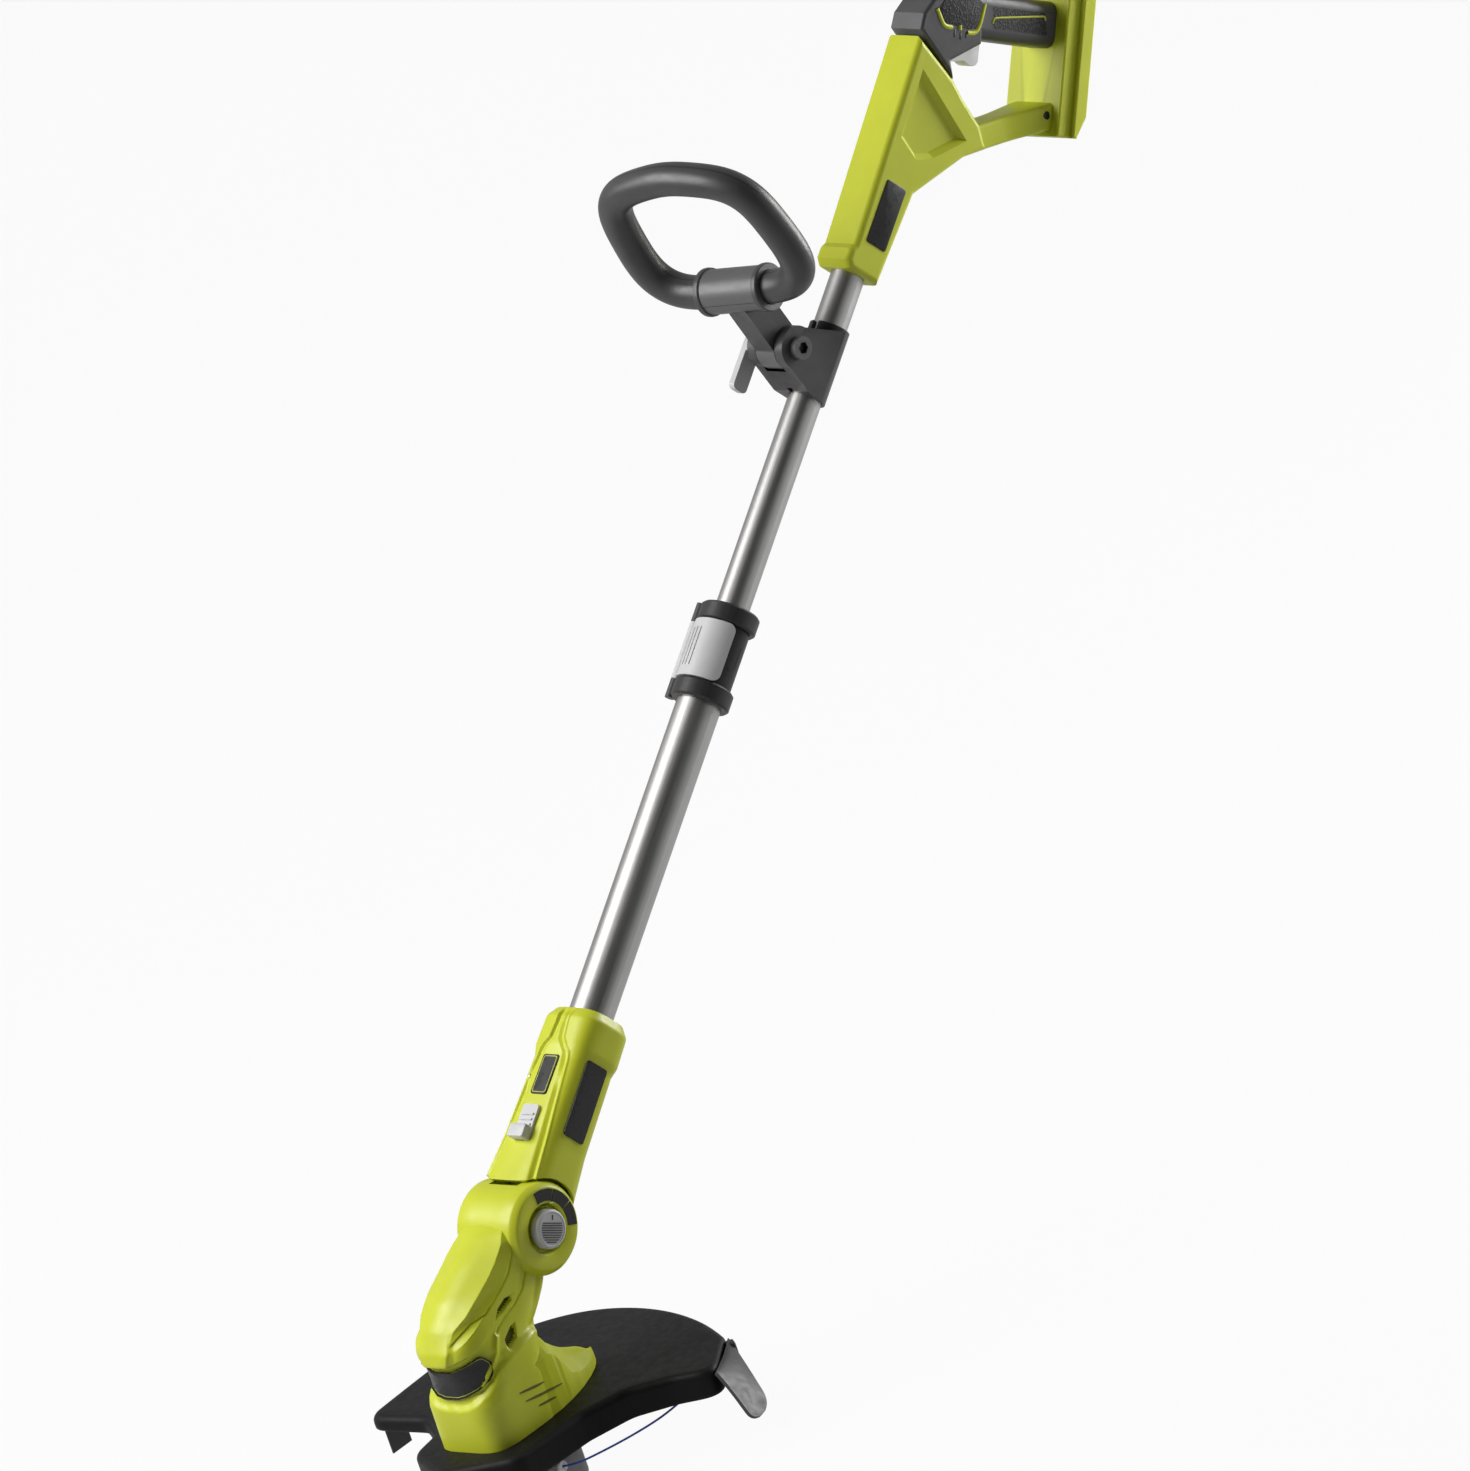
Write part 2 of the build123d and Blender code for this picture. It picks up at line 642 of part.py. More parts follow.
lever = Rot(0, 0, CLAMP_HINGE_ANGLE) * revolve(lever_section, Axis.Z, revolution_arc=lever_arc)
lever = lever + hinge * rod(CLAMP_KNUCKLE_R, lever_bottom, lever_top)
lever = lever - rod(lever_in, 0, CLAMP_LENGTH)
free_angle = radians(CLAMP_LEVER_FREE_ANGLE)
lever_mid = (lever_in + lever_out) / 2
for z in (lever_bottom, lever_top):
    corner = Vector(lever_mid * cos(free_angle), lever_mid * sin(free_angle), z)
    lever = fillet(lever.edges().sort_by_distance(corner)[0], CLAMP_LEVER_CORNER_R)
lever = lever - hinge * rod(CLAMP_PIN_R + SLIP, 0, CLAMP_LENGTH)
nodes["clamp_lever"] = to_clamp * lever

# Bracket that grips the upper tube, in the frame of the tilt axis
ear_in = STEM_HALF + RUN
ear_out = ear_in + EAR_THICKNESS
strap_r = UPPER_TUBE_D / 2 + STRAP_WALL
to_strap = Pos(0, TILT_AXIS_FORWARD, -TILT_AXIS_UP)
strap = to_strap * rod(strap_r, 0, STRAP_LENGTH)
ear_outline = [
    (0, BOSS_R),
    (TILT_AXIS_FORWARD, EAR_TOP),
    (TILT_AXIS_FORWARD, -TILT_AXIS_UP),
    (EAR_TOE, -TILT_AXIS_UP),
    (0, -BOSS_R),
]
ear = side_prism(ear_outline, ear_out)
ears = ear + cross_rod(BOSS_R, -ear_out, ear_out)
swing_r = BOSS_R + STEM_SWING_GAP
stem_gap = cross_rod(swing_r, -ear_in, ear_in)
stem_gap = stem_gap + block(-ear_in, ear_in, -swing_r, 0, -swing_r, swing_r)
bracket = strap + (ears - stem_gap)
bracket = bracket - to_strap * rod(UPPER_TUBE_D / 2 + RUN / 2, -1, STRAP_LENGTH + 1)
bracket = bracket - to_strap * block(-ear_in / 4, ear_in / 4, -strap_r - 3, 0, -1, STRAP_LENGTH + 1)
bracket = bracket - cross_rod(BOLT_R + SLIP, -ear_out - 1, ear_out + 1)
nodes["tube_bracket"] = TILT_AXIS * bracket
cam_x = -ear_out - CAM_R - RUN
cam_axis = Pos(cam_x, 0, 0) * Rot(90, 0, 0)
bolt_head_x = ear_out + BOLT_HEAD_HEIGHT
bolt = cross_rod(BOLT_R, cam_x - BOLT_TAIL, ear_out) + cross_rod(BOLT_HEAD_R, ear_out, bolt_head_x)
socket = Rot(0, 90, 0) * extrude(RegularPolygon(BOLT_SOCKET_R, 6), amount=2 * BOLT_SOCKET_DEPTH)
bolt = bolt - Pos(bolt_head_x - BOLT_SOCKET_DEPTH, 0, 0) * socket
cam_bore = cam_axis * Cylinder(CAM_PIN_R + SLIP, 4 * CAM_LEVER_HALF)
nodes["bracket_bolt"] = TILT_AXIS * (bolt - cam_bore)
nodes["cam_pin"] = TILT_AXIS * cam_axis * Cylinder(CAM_PIN_R, 2 * CAM_LEVER_HALF)
cam = cam_axis * Cylinder(CAM_R, 2 * CAM_LEVER_HALF)
arm_x = cam_x - CAM_R
arm = block(arm_x, arm_x + CAM_LEVER_WALL, -CAM_LEVER_HALF, CAM_LEVER_HALF, -CAM_LEVER_LENGTH, 0)
arm = fillet(arm.faces().sort_by(Axis.Z)[0].edges().filter_by(Axis.X), CAM_LEVER_END_R)
bolt_slot = block(
    arm_x - 1,
    cam_x + CAM_R + 1,
    -BOLT_R - RUN,
    BOLT_R + RUN,
    -CAM_R,
    CAM_R + 1,
)
nodes["cam_lever"] = TILT_AXIS * (cam + arm - cam_bore - bolt_slot)

# Yoke: stem from the tilt axis to the cradle that holds the loop's bar
stem_angle = degrees(atan2(STEM_UP, STEM_FORWARD))
stem_length = hypot(STEM_FORWARD, STEM_UP)
stem_depth = BOSS_R - STEM_INSET
stem_bar = block(-STEM_HALF, STEM_HALF, -stem_length, 0, -stem_depth, stem_depth)
stem = Rot(-stem_angle, 0, 0) * stem_bar
cradle = TO_LOOP * cross_rod(CRADLE_R, -CRADLE_LENGTH / 2, CRADLE_LENGTH / 2)
yoke = stem + cross_rod(BOSS_R, -STEM_HALF, STEM_HALF) + cradle
yoke = yoke - cross_rod(BOLT_R + RUN / 2, -2 * STEM_HALF, 2 * STEM_HALF)
bar_bore = TO_LOOP * cross_rod(LOOP_TUBE_R + SLIP, -CRADLE_LENGTH, CRADLE_LENGTH)
cap_side = 2 * CRADLE_R
cap_cut = TO_LOOP * block(-CRADLE_LENGTH, CRADLE_LENGTH, -cap_side, 0, -cap_side, cap_side)
cap_zone = TO_LOOP * block(-CRADLE_LENGTH, CRADLE_LENGTH, -cap_side, -RUN, -cap_side, cap_side)
nodes["handle_yoke"] = TILT_AXIS * (yoke - bar_bore - cap_cut)
nodes["yoke_cap"] = TILT_AXIS * ((cradle & cap_zone) - bar_bore)

# Loop handle, two half shells parted in the loop's own plane
loop_path = FilletPolyline(
    (-LOOP_HALF_WIDTH, 0, 0),
    (LOOP_HALF_WIDTH, 0, 0),
    (LOOP_SHOULDER_HALF, -LOOP_SHOULDER, 0),
    (0, -LOOP_HEIGHT, 0),
    (-LOOP_SHOULDER_HALF, -LOOP_SHOULDER, 0),
    radius=LOOP_CORNER_R,
    close=True,
)
loop_section = Plane(origin=loop_path @ 0, z_dir=loop_path % 0)
loop_solid = sweep(loop_section * Circle(LOOP_TUBE_R), path=loop_path)
loop_core = sweep(loop_section * Circle(LOOP_TUBE_R - LOOP_WALL), path=loop_path)
loop_shell = loop_solid - loop_core
nodes["loop_half_upper"] = TILT_AXIS * TO_LOOP * split(loop_shell, Plane.XY, keep=Keep.TOP)
nodes["loop_half_lower"] = TILT_AXIS * TO_LOOP * split(loop_shell, Plane.XY, keep=Keep.BOTTOM)

# Neck that swivels on the lower tube, with the tongue that enters the head's drum
foot_half = NECK_HALF + NECK_FOOT_GROW
foot_depth = NECK_HALF_DEPTH + NECK_FOOT_GROW
waist_half = NECK_HALF + NECK_WAIST_GROW
waist_depth = NECK_HALF_DEPTH + NECK_WAIST_GROW
collar_half = NECK_HALF + NECK_COLLAR_GROW
collar_depth = NECK_HALF_DEPTH + NECK_COLLAR_GROW
lip_half = collar_half - NECK_LIP
lip_depth = collar_depth - NECK_LIP
collar_low = NECK_LENGTH - NECK_COLLAR_LENGTH
body_top = collar_low + NECK_COLLAR_RAMP
ramp_low = collar_low - NECK_COLLAR_RAMP
ramp_half = NECK_HALF - NECK_COLLAR_GROW
ramp_depth = NECK_HALF_DEPTH - NECK_COLLAR_GROW
neck_body = lofted(
    [
        (NECK_FOOT_A, -foot_depth, foot_depth, foot_half, NECK_CORNER_R),
        (NECK_WAIST_A, -waist_depth, waist_depth, waist_half, NECK_CORNER_R),
        (body_top, -NECK_HALF_DEPTH, NECK_HALF_DEPTH, NECK_HALF, NECK_CORNER_R),
    ]
)
neck_collar = lofted(
    [
        (ramp_low, -ramp_depth, ramp_depth, ramp_half, NECK_CORNER_R),
        (collar_low, -collar_depth, collar_depth, collar_half, NECK_CORNER_R),
        (NECK_LENGTH - NECK_COLLAR_RAMP, -collar_depth, collar_depth, collar_half, NECK_CORNER_R),
        (NECK_LENGTH, -lip_depth, lip_depth, lip_half, NECK_CORNER_R),
    ],
    ruled=True,
)
flange_r = LOWER_TUBE_D / 2 + FLANGE_LIP
drum_space = DRUM_R + 2 * RUN
neck = neck_body + neck_collar - cross_rod(drum_space, -2 * NECK_HALF, 2 * NECK_HALF)
tongue = block(-HUB_HALF, HUB_HALF, -TONGUE_HALF_DEPTH, TONGUE_HALF_DEPTH, 0, drum_space + SHELL_WALL)
neck = neck + tongue + cross_rod(HUB_R, -HUB_HALF, HUB_HALF)
neck = neck - rod(LOWER_TUBE_D / 2 + RUN / 2, LOWER_TUBE_A - RUN, NECK_LENGTH + 1)
neck = neck - rod(flange_r + RUN, LOWER_TUBE_A - RUN, LOWER_TUBE_A + FLANGE_HEIGHT + RUN)
neck = neck - rod(NECK_CORE_R, NECK_CORE_A, LOWER_TUBE_A)
neck = neck - cross_rod(AXLE_R + SLIP, -HUB_HALF - 1, HUB_HALF + 1)
latch_low = LATCH_A - LATCH_LENGTH / 2
latch_high = LATCH_A + LATCH_LENGTH / 2
latch_bed = block(
    -LATCH_HALF - LATCH_MARGIN,
    LATCH_HALF + LATCH_MARGIN,
    -2 * NECK_HALF,
    -NECK_HALF_DEPTH,
    latch_low - LATCH_MARGIN,
    latch_high + LATCH_TRAVEL + LATCH_MARGIN,
)
stem_low = LATCH_A - LATCH_TRAVEL
stem_high = LATCH_A + LATCH_TRAVEL
latch_slot = block(
    -LATCH_STEM_HALF - RUN,
    LATCH_STEM_HALF + RUN,
    -NECK_HALF_DEPTH - 1,
    -LOWER_TUBE_D / 2,
    stem_low - RUN,
    stem_high + LATCH_TRAVEL + RUN,
)
neck = neck - latch_bed - latch_slot
neck_screws = []
for y, z in NECK_SCREW_SPOTS:
    half = NECK_SCREW_HALF
    neck = neck - cross_rod(SCREW_HEAD_R + SLIP, -2 * NECK_HALF, -half, y, z)
    neck = neck - cross_rod(SCREW_SHANK_R + SLIP, -half, half, y, z)
    neck_screws.append(screw(-half, half - 1, y, z))
nodes["neck_screws"] = SHAFT * Compound(neck_screws)
left, right = halves(neck)
nodes["neck_shell_left"] = SHAFT * left
nodes["neck_shell_right"] = SHAFT * right
nodes["pivot_axle"] = SHAFT * cross_rod(AXLE_R, -BUTTON_POCKET_X, BUTTON_POCKET_X)
plate_back = -NECK_HALF_DEPTH - RUN
plate_front = plate_back - LATCH_PLATE
latch = block(-LATCH_HALF, LATCH_HALF, plate_front, plate_back, latch_low, latch_high)
latch = fillet(latch.edges().filter_by(Axis.Y), LATCH_CORNER_R)
latch = latch + block(
    -LATCH_STEM_HALF,
    LATCH_STEM_HALF,
    plate_front + 1,
    -flange_r - 2 * RUN,
    stem_low,
    stem_high,
)
ridge_half = LATCH_HALF - LATCH_MARGIN
for ridge in range(LATCH_RIDGES):
    ridge_a = LATCH_A + LATCH_RIDGE_PITCH * (ridge + 0.5 - LATCH_RIDGES / 2)
    latch = latch + block(
        -ridge_half,
        ridge_half,
        plate_front - LATCH_RIDGE_HEIGHT,
        plate_front,
        ridge_a - LATCH_RIDGE_HALF,
        ridge_a + LATCH_RIDGE_HALF,
    )
nodes["edge_latch"] = SHAFT * latch

# Motor housing: a nose round the motor, the pivot drum and a low tail
nose_sections = [
    (HOUSING_Z, -NOSE_FRONT, NOSE_FRONT + 1, NOSE_HALF, NOSE_HALF - 2),
    (HOUSING_Z + 30, -NOSE_FRONT, NOSE_FRONT + 4, NOSE_HALF, NOSE_HALF - 3),
    (HOUSING_Z + 60, 2 - NOSE_FRONT, NOSE_FRONT + 12, NOSE_HALF - 1, NOSE_HALF - 4),
]
visor_low = HOUSING_Z + VISOR_RISE
visor_sections = [
    (visor_low, -NOSE_FRONT, NOSE_FRONT + 10, NOSE_HALF + 0.5, NOSE_HALF - 4),
    (visor_low + 12, -NOSE_FRONT - 3, NOSE_FRONT + 15, NOSE_HALF + 1, NOSE_HALF - 6),
    (visor_low + 28, -NOSE_FRONT - 1, NOSE_FRONT + 26, NOSE_HALF - 0.5, NOSE_HALF - 7),
    (PIVOT_Z - 28, 8 - NOSE_FRONT, PIVOT_Y - 3, NOSE_HALF - 3, NOSE_HALF - 9),
    (PIVOT_Z - 13, 24 - NOSE_FRONT, PIVOT_Y + 8, NOSE_HALF - 5, NOSE_HALF - 11),
    (PIVOT_Z + 2, PIVOT_Y - 64, PIVOT_Y + 20, DRUM_HALF - 2, DRUM_HALF - 8),
    (PIVOT_Z + 14, PIVOT_Y - 38, PIVOT_Y + 22, DRUM_HALF - 4, DRUM_HALF - 12),
]
pod = lofted(nose_sections) + lofted(visor_sections)
drum = cross_rod(DRUM_R, -DRUM_HALF, DRUM_HALF)
drum = chamfer(drum.edges().filter_by(GeomType.CIRCLE), DRUM_BEVEL)
tail_root = Circle(NOSE_HALF)
tail_tip = Pos(0, TAIL_REACH - TAIL_R) * Circle(TAIL_R)
tail_plan = make_hull(tail_root.edges() + tail_tip.edges())
tail = Pos(0, 0, HOUSING_Z) * extrude(tail_plan, amount=TAIL_HEIGHT * 2)
tail_slope = degrees(atan2(TAIL_HEIGHT, TAIL_REACH - NOSE_HALF))
above_tail = block(-TAIL_REACH, TAIL_REACH, -2 * TAIL_REACH, TAIL_REACH, 0, TAIL_REACH)
tail = tail - Pos(0, TAIL_REACH, HOUSING_Z + TAIL_TIP_HEIGHT) * Rot(-tail_slope, 0, 0) * above_tail
hollow = lofted(shrunk(nose_sections, SHELL_WALL)) + lofted(shrunk(visor_sections[:4], SHELL_WALL))
hollow = hollow - block(-NOSE_HALF, NOSE_HALF, -NOSE_HALF, 2 * NOSE_HALF, 0, HOUSING_Z + SHELL_WALL)
to_pivot = Pos(0, PIVOT_Y, PIVOT_Z)
slot_half = HUB_HALF + RUN
slot_spread = TILT_RANGE + degrees(asin(TONGUE_HALF_DEPTH / HUB_R)) + SLOT_SPARE
slot_points = [(0, 0)]
for step in range(7):
    angle = radians(SHAFT_LEAN - slot_spread + step * slot_spread / 3)
    slot_points.append((2 * DRUM_R * sin(angle), 2 * DRUM_R * cos(angle)))
slot = side_prism(slot_points, slot_half) + cross_rod(HUB_R + RUN, -slot_half, slot_half)
housing = pod + to_pivot * drum + tail - hollow - to_pivot * slot
housing = housing - to_pivot * cross_rod(AXLE_R + RUN / 2, -BUTTON_POCKET_X - RUN, BUTTON_POCKET_X)
housing = housing - to_pivot * cross_rod(BUTTON_R + RUN, BUTTON_POCKET_X, DRUM_HALF + 1)
housing = housing - rod(BEARING_R, HOUSING_Z - 1, HOUSING_Z + SHELL_WALL + 1)
guard_screw_spots = PolarLocations(GUARD_SCREW_R, GUARD_SCREWS, GUARD_SCREW_ANGLE)
for spot in guard_screw_spots:
    housing = housing - spot * rod(SCREW_SHANK_R + SLIP, HOUSING_Z - 1, HOUSING_Z + SHELL_WALL + 1)
cowl_zone = block(-2 * NOSE_HALF, 2 * NOSE_HALF, -2 * NOSE_FRONT, COWL_SPLIT_Y, HOUSING_Z - 1, COWL_TOP_Z)
nodes["front_cowl"] = housing & cowl_zone
left, right = halves(housing - cowl_zone)
nodes["motor_shell_left"] = left
nodes["motor_shell_right"] = right
motor_floor = HOUSING_Z + SHELL_WALL
motor = rod(MOTOR_R, motor_floor, motor_floor + MOTOR_LENGTH)
motor = chamfer(motor.edges().filter_by(GeomType.CIRCLE), MOTOR_BEVEL)
nodes["motor_can"] = motor - rod(SHAFT_R + RUN, motor_floor - 1, motor_floor + SHAFT_IN_MOTOR + RUN)
nodes["motor_bearing"] = pipe(BEARING_R - SLIP, SHAFT_R + RUN / 2, HOUSING_Z, motor_floor)
spring_x = BUTTON_POCKET_X + BUTTON_SPRING_LENGTH
button = cross_rod(BUTTON_R, spring_x + BUTTON_TRAVEL + RUN, DRUM_HALF + BUTTON_PROUD)
button = chamfer(button.faces().sort_by(Axis.X)[-1].edges(), BUTTON_BEVEL)
nodes["pivot_button"] = to_pivot * button
spring = cross_rod(BUTTON_SPRING_R, BUTTON_POCKET_X, spring_x)
spring = spring - cross_rod(BUTTON_SPRING_R - BUTTON_SPRING_WIRE, BUTTON_POCKET_X - 1, spring_x + 1)
nodes["button_spring"] = to_pivot * spring

# Guard: flat top with a wall round it and a flared flap at the user's left
guard_plan = Polygon(*GUARD_POINTS, align=None)
guard_plan = fillet(guard_plan.vertices(), GUARD_CORNER_R)
guard = Pos(0, 0, HOUSING_Z - GUARD_DEPTH) * extrude(guard_plan, amount=GUARD_DEPTH)
guard = fillet(guard.faces().sort_by(Axis.Z)[-1].edges(), GUARD_EDGE_R)
guard_hollow = extrude(offset(guard_plan, -GUARD_WALL), amount=GUARD_DEPTH - GUARD_PLATE)
guard = guard - Pos(0, 0, HOUSING_Z - GUARD_DEPTH) * guard_hollow
arm_low = HOUSING_Z - GUARD_ARM_DEPTH
guard = guard - block(
    2 * GUARD_ARM_X,
    GUARD_ARM_X,
    -GUARD_ARM_REACH,
    GUARD_ARM_REACH,
    HOUSING_Z - 2 * GUARD_DEPTH,
    arm_low,
)
plate_low = HOUSING_Z - GUARD_PLATE
flap_top = Pos(0, 0, plate_low) * Polygon(*FLAP_ROOT, align=None)
flap_low = Pos(FLAP_FLARE, 0, plate_low - FLAP_DROP) * Polygon(*FLAP_EDGE, align=None)
guard = guard + loft([flap_low, flap_top])
guard = guard - rod(BEARING_R + 2, HOUSING_Z - GUARD_DEPTH, HOUSING_Z + 1)
guard_screw = rod(SCREW_SHANK_R, plate_low, motor_floor)
guard_screw = guard_screw + rod(SCREW_HEAD_R, plate_low - SCREW_HEAD, plate_low)
guard_screws = []
for spot in guard_screw_spots:
    guard = guard - spot * rod(SCREW_SHANK_R + SLIP, plate_low - 1, HOUSING_Z + 1)
    guard_screws.append(spot * guard_screw)
nodes["guard"] = guard
nodes["guard_screws"] = Compound(guard_screws)
nodes["line_cutter"] = block(
    CUTTER_X - CUTTER_THICKNESS,
    CUTTER_X,
    CUTTER_Y,
    CUTTER_Y + CUTTER_WIDTH,
    plate_low - CUTTER_DROP,
    plate_low,
)

# Spool head on the motor shaft
shaft_low = SPOOL_TOP_Z - SHAFT_IN_SPOOL
nodes["motor_shaft"] = rod(SHAFT_R, shaft_low, motor_floor + SHAFT_IN_MOTOR)
eyelet_axis = Pos(0, 0, EYELET_Z)
eyelet_seat_r = EYELET_R - EYELET_RIM
boss_r = BOBBIN_CORE_R - BOBBIN_CORE_WALL - 1
spool_cup = rod(SPOOL_R, SPOOL_JOIN_Z, SPOOL_TOP_Z)
spool_cup = fillet(spool_cup.faces().sort_by(Axis.Z)[-1].edges(), SPOOL_ROUND)
spool_cup = spool_cup - rod(SPOOL_R - SPOOL_WALL, SPOOL_JOIN_Z - 1, SPOOL_TOP_Z - SPOOL_WALL)
spool_cup = spool_cup + rod(boss_r, shaft_low - 2, SPOOL_TOP_Z - 1)
spool_cup = spool_cup - rod(SHAFT_R + SLIP, shaft_low, SPOOL_TOP_Z + 1)
nodes["spool_housing"] = spool_cup - eyelet_axis * cross_rod(eyelet_seat_r, 0, 2 * SPOOL_R)
eyelet = eyelet_axis * cross_rod(EYELET_R, SPOOL_R - 1, SPOOL_R + EYELET_PROUD)
eyelet = eyelet - rod(SPOOL_R, 0, SPOOL_TOP_Z)
eyelet = eyelet + eyelet_axis * cross_rod(eyelet_seat_r - SLIP, SPOOL_R - SPOOL_WALL, SPOOL_R + 1)
nodes["line_eyelet"] = eyelet - eyelet_axis * cross_rod(LINE_D / 2 + RUN, 0, 2 * SPOOL_R)
bobbin_z = SPOOL_JOIN_Z + 2
bobbin_top = shaft_low - 4
bobbin = rod(BOBBIN_CORE_R, bobbin_z, bobbin_top)
for start in (bobbin_z, bobbin_top - BOBBIN_FLANGE):
    bobbin = bobbin + rod(BOBBIN_FLANGE_R, start, start + BOBBIN_FLANGE)
bobbin = bobbin - rod(BOBBIN_CORE_R - BOBBIN_CORE_WALL, bobbin_z - 1, bobbin_top + 1)
nodes["spool_bobbin"] = bobbin
nodes["line_winding"] = pipe(
    WINDING_R, BOBBIN_CORE_R, bobbin_z + BOBBIN_FLANGE, bobbin_top - BOBBIN_FLANGE
)
cap_profile = [
    (0, 0),
    (FOOT_R, 0),
    (SPOOL_R - CAP_SLOPE, CAP_FLOOR - 1),
    (SPOOL_R, SPOOL_JOIN_Z - SPOOL_WALL),
    (SPOOL_R, SPOOL_JOIN_Z),
    (0, SPOOL_JOIN_Z),
]
spool_cap = revolve(Plane.XZ * Polygon(*cap_profile, align=None), Axis.Z)
spool_cap = spool_cap - rod(SPOOL_R - CAP_WALL, CAP_FLOOR, SPOOL_JOIN_Z + 1)
spool_cap = spool_cap + rod(boss_r, CAP_FLOOR - 1, bobbin_z - 1)
nodes["spool_cap"] = spool_cap
nodes["spool_spring"] = pipe(SPRING_R, SPRING_R - SPRING_WIRE, CAP_FLOOR, bobbin_z)

# Free end of the cutting line
line_turns = []
for before, corner, after in zip(LINE_POINTS, LINE_POINTS[1:], LINE_POINTS[2:]):
    run_in = Vector(*corner) - Vector(*before)
    run_out = Vector(*after) - Vector(*corner)
    turn = radians(run_in.get_angle(run_out))
    line_turns.append(LINE_BEND_SHARE * min(run_in.length, run_out.length) / tan(turn / 2))
line_path = FilletPolyline(*LINE_POINTS, radius=line_turns)
line_section = Plane(origin=line_path @ 0, z_dir=line_path % 0) * Circle(LINE_D / 2)
nodes["cutting_line"] = sweep(line_section, path=line_path)

os.makedirs("parts", exist_ok=True)
for name, solid in nodes.items():
    export_step(solid, f"parts/{name}.step")
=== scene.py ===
import json
import math

import bmesh
import bpy
import numpy as np
from bpy.props import FloatProperty, FloatVectorProperty, IntProperty, PointerProperty
from mathutils import Matrix, Vector
from mathutils.geometry import delaunay_2d_cdt


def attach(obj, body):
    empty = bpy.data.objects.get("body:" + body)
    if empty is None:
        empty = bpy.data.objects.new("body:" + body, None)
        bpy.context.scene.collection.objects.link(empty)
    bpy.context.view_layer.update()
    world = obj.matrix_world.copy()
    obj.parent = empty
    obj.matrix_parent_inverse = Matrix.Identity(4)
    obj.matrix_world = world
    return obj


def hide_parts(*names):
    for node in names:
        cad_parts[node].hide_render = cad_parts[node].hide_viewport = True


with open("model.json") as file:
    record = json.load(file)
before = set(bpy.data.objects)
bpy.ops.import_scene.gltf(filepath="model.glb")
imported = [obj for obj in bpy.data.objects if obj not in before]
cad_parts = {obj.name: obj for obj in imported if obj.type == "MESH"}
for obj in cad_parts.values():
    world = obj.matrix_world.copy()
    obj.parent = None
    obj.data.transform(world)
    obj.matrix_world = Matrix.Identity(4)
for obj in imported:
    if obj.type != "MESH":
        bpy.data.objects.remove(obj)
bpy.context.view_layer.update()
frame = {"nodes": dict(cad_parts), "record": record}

bl_info = {
    "name": "String Trimmer",
    "version": (1, 0, 0),
    "blender": (4, 5, 0),
    "location": "View3D > Sidebar > Trimmer",
    "description": "Skins, trims, finishes and studio of a cordless string trimmer",
    "category": "Object",
}

MM = 0.001
CREASE = math.radians(38.0)

# Directions of the front-left quarter view, which is also the plane that the housing's feature lines are drawn on
QUARTER_RIGHT = (0.6928, 0.6486, -0.3150)
QUARTER_UP = (-0.0396, 0.4704, 0.8816)
QUARTER_OUT = (0.7200, -0.5983, 0.3516)

# Turns that lay a part drawn flat on its frame
ASIDE = Matrix.Rotation(math.radians(90.0), 4, "Y")
UPRIGHT = Matrix(((0, 0, 1, 0), (1, 0, 0, 0), (0, 1, 0, 0), (0, 0, 0, 1)))
FORWARD = Matrix(((1, 0, 0, 0), (0, 0, -1, 0), (0, 1, 0, 0), (0, 0, 0, 1)))
MIRROR = Matrix.Scale(-1.0, 4, (1, 0, 0))

# Frames of the shaft, the rear handle and the front handle, in millimetres
LEAN = 52.0
PIVOT_Y, PIVOT_Z = 78.0, 188.0
PIVOT = Matrix.Translation((0.0, PIVOT_Y, PIVOT_Z))
SHAFT = PIVOT @ Matrix.Rotation(math.radians(-LEAN), 4, "X")
HANDLE = SHAFT @ Matrix.Translation((0.0, 0.0, 746.0))
GRIP = HANDLE @ Matrix.Translation((0.0, 39.0, 204.0)) @ Matrix.Rotation(math.radians(19.2), 4, "X")
TILT = SHAFT @ Matrix.Translation((0.0, -39.0, 673.0))
LOOP = (
    TILT @ Matrix.Translation((0.0, -55.5, 20.0))
    @ Matrix.Rotation(math.radians(-22.0), 4, "X") @ Matrix.Rotation(math.radians(-8.5), 4, "Y")
)

# Route of the free cutting line, in metres
LINE_POINTS = [
    (0.047, 0.0, 0.038),
    (0.060, 0.0, 0.038),
    (0.071, 0.034, 0.037),
    (0.077, 0.063, 0.0365),
    (0.078, 0.089, 0.036),
    (0.073, 0.114, 0.0355),
]


def colour(name, text, value):
    """A colour that a user can change."""
    return FloatVectorProperty(
        name=name, description=text, subtype="COLOR", size=3, min=0.0, max=1.0, default=value
    )


def power(name, text, value):
    """A lamp's power that a user can change."""
    return FloatProperty(name=name, description=text, unit="POWER", min=0.0, default=value)


def length(name, text, value):
    """A size in metres that a user can change."""
    return FloatProperty(name=name, description=text, unit="LENGTH", min=0.0, default=value, precision=4)


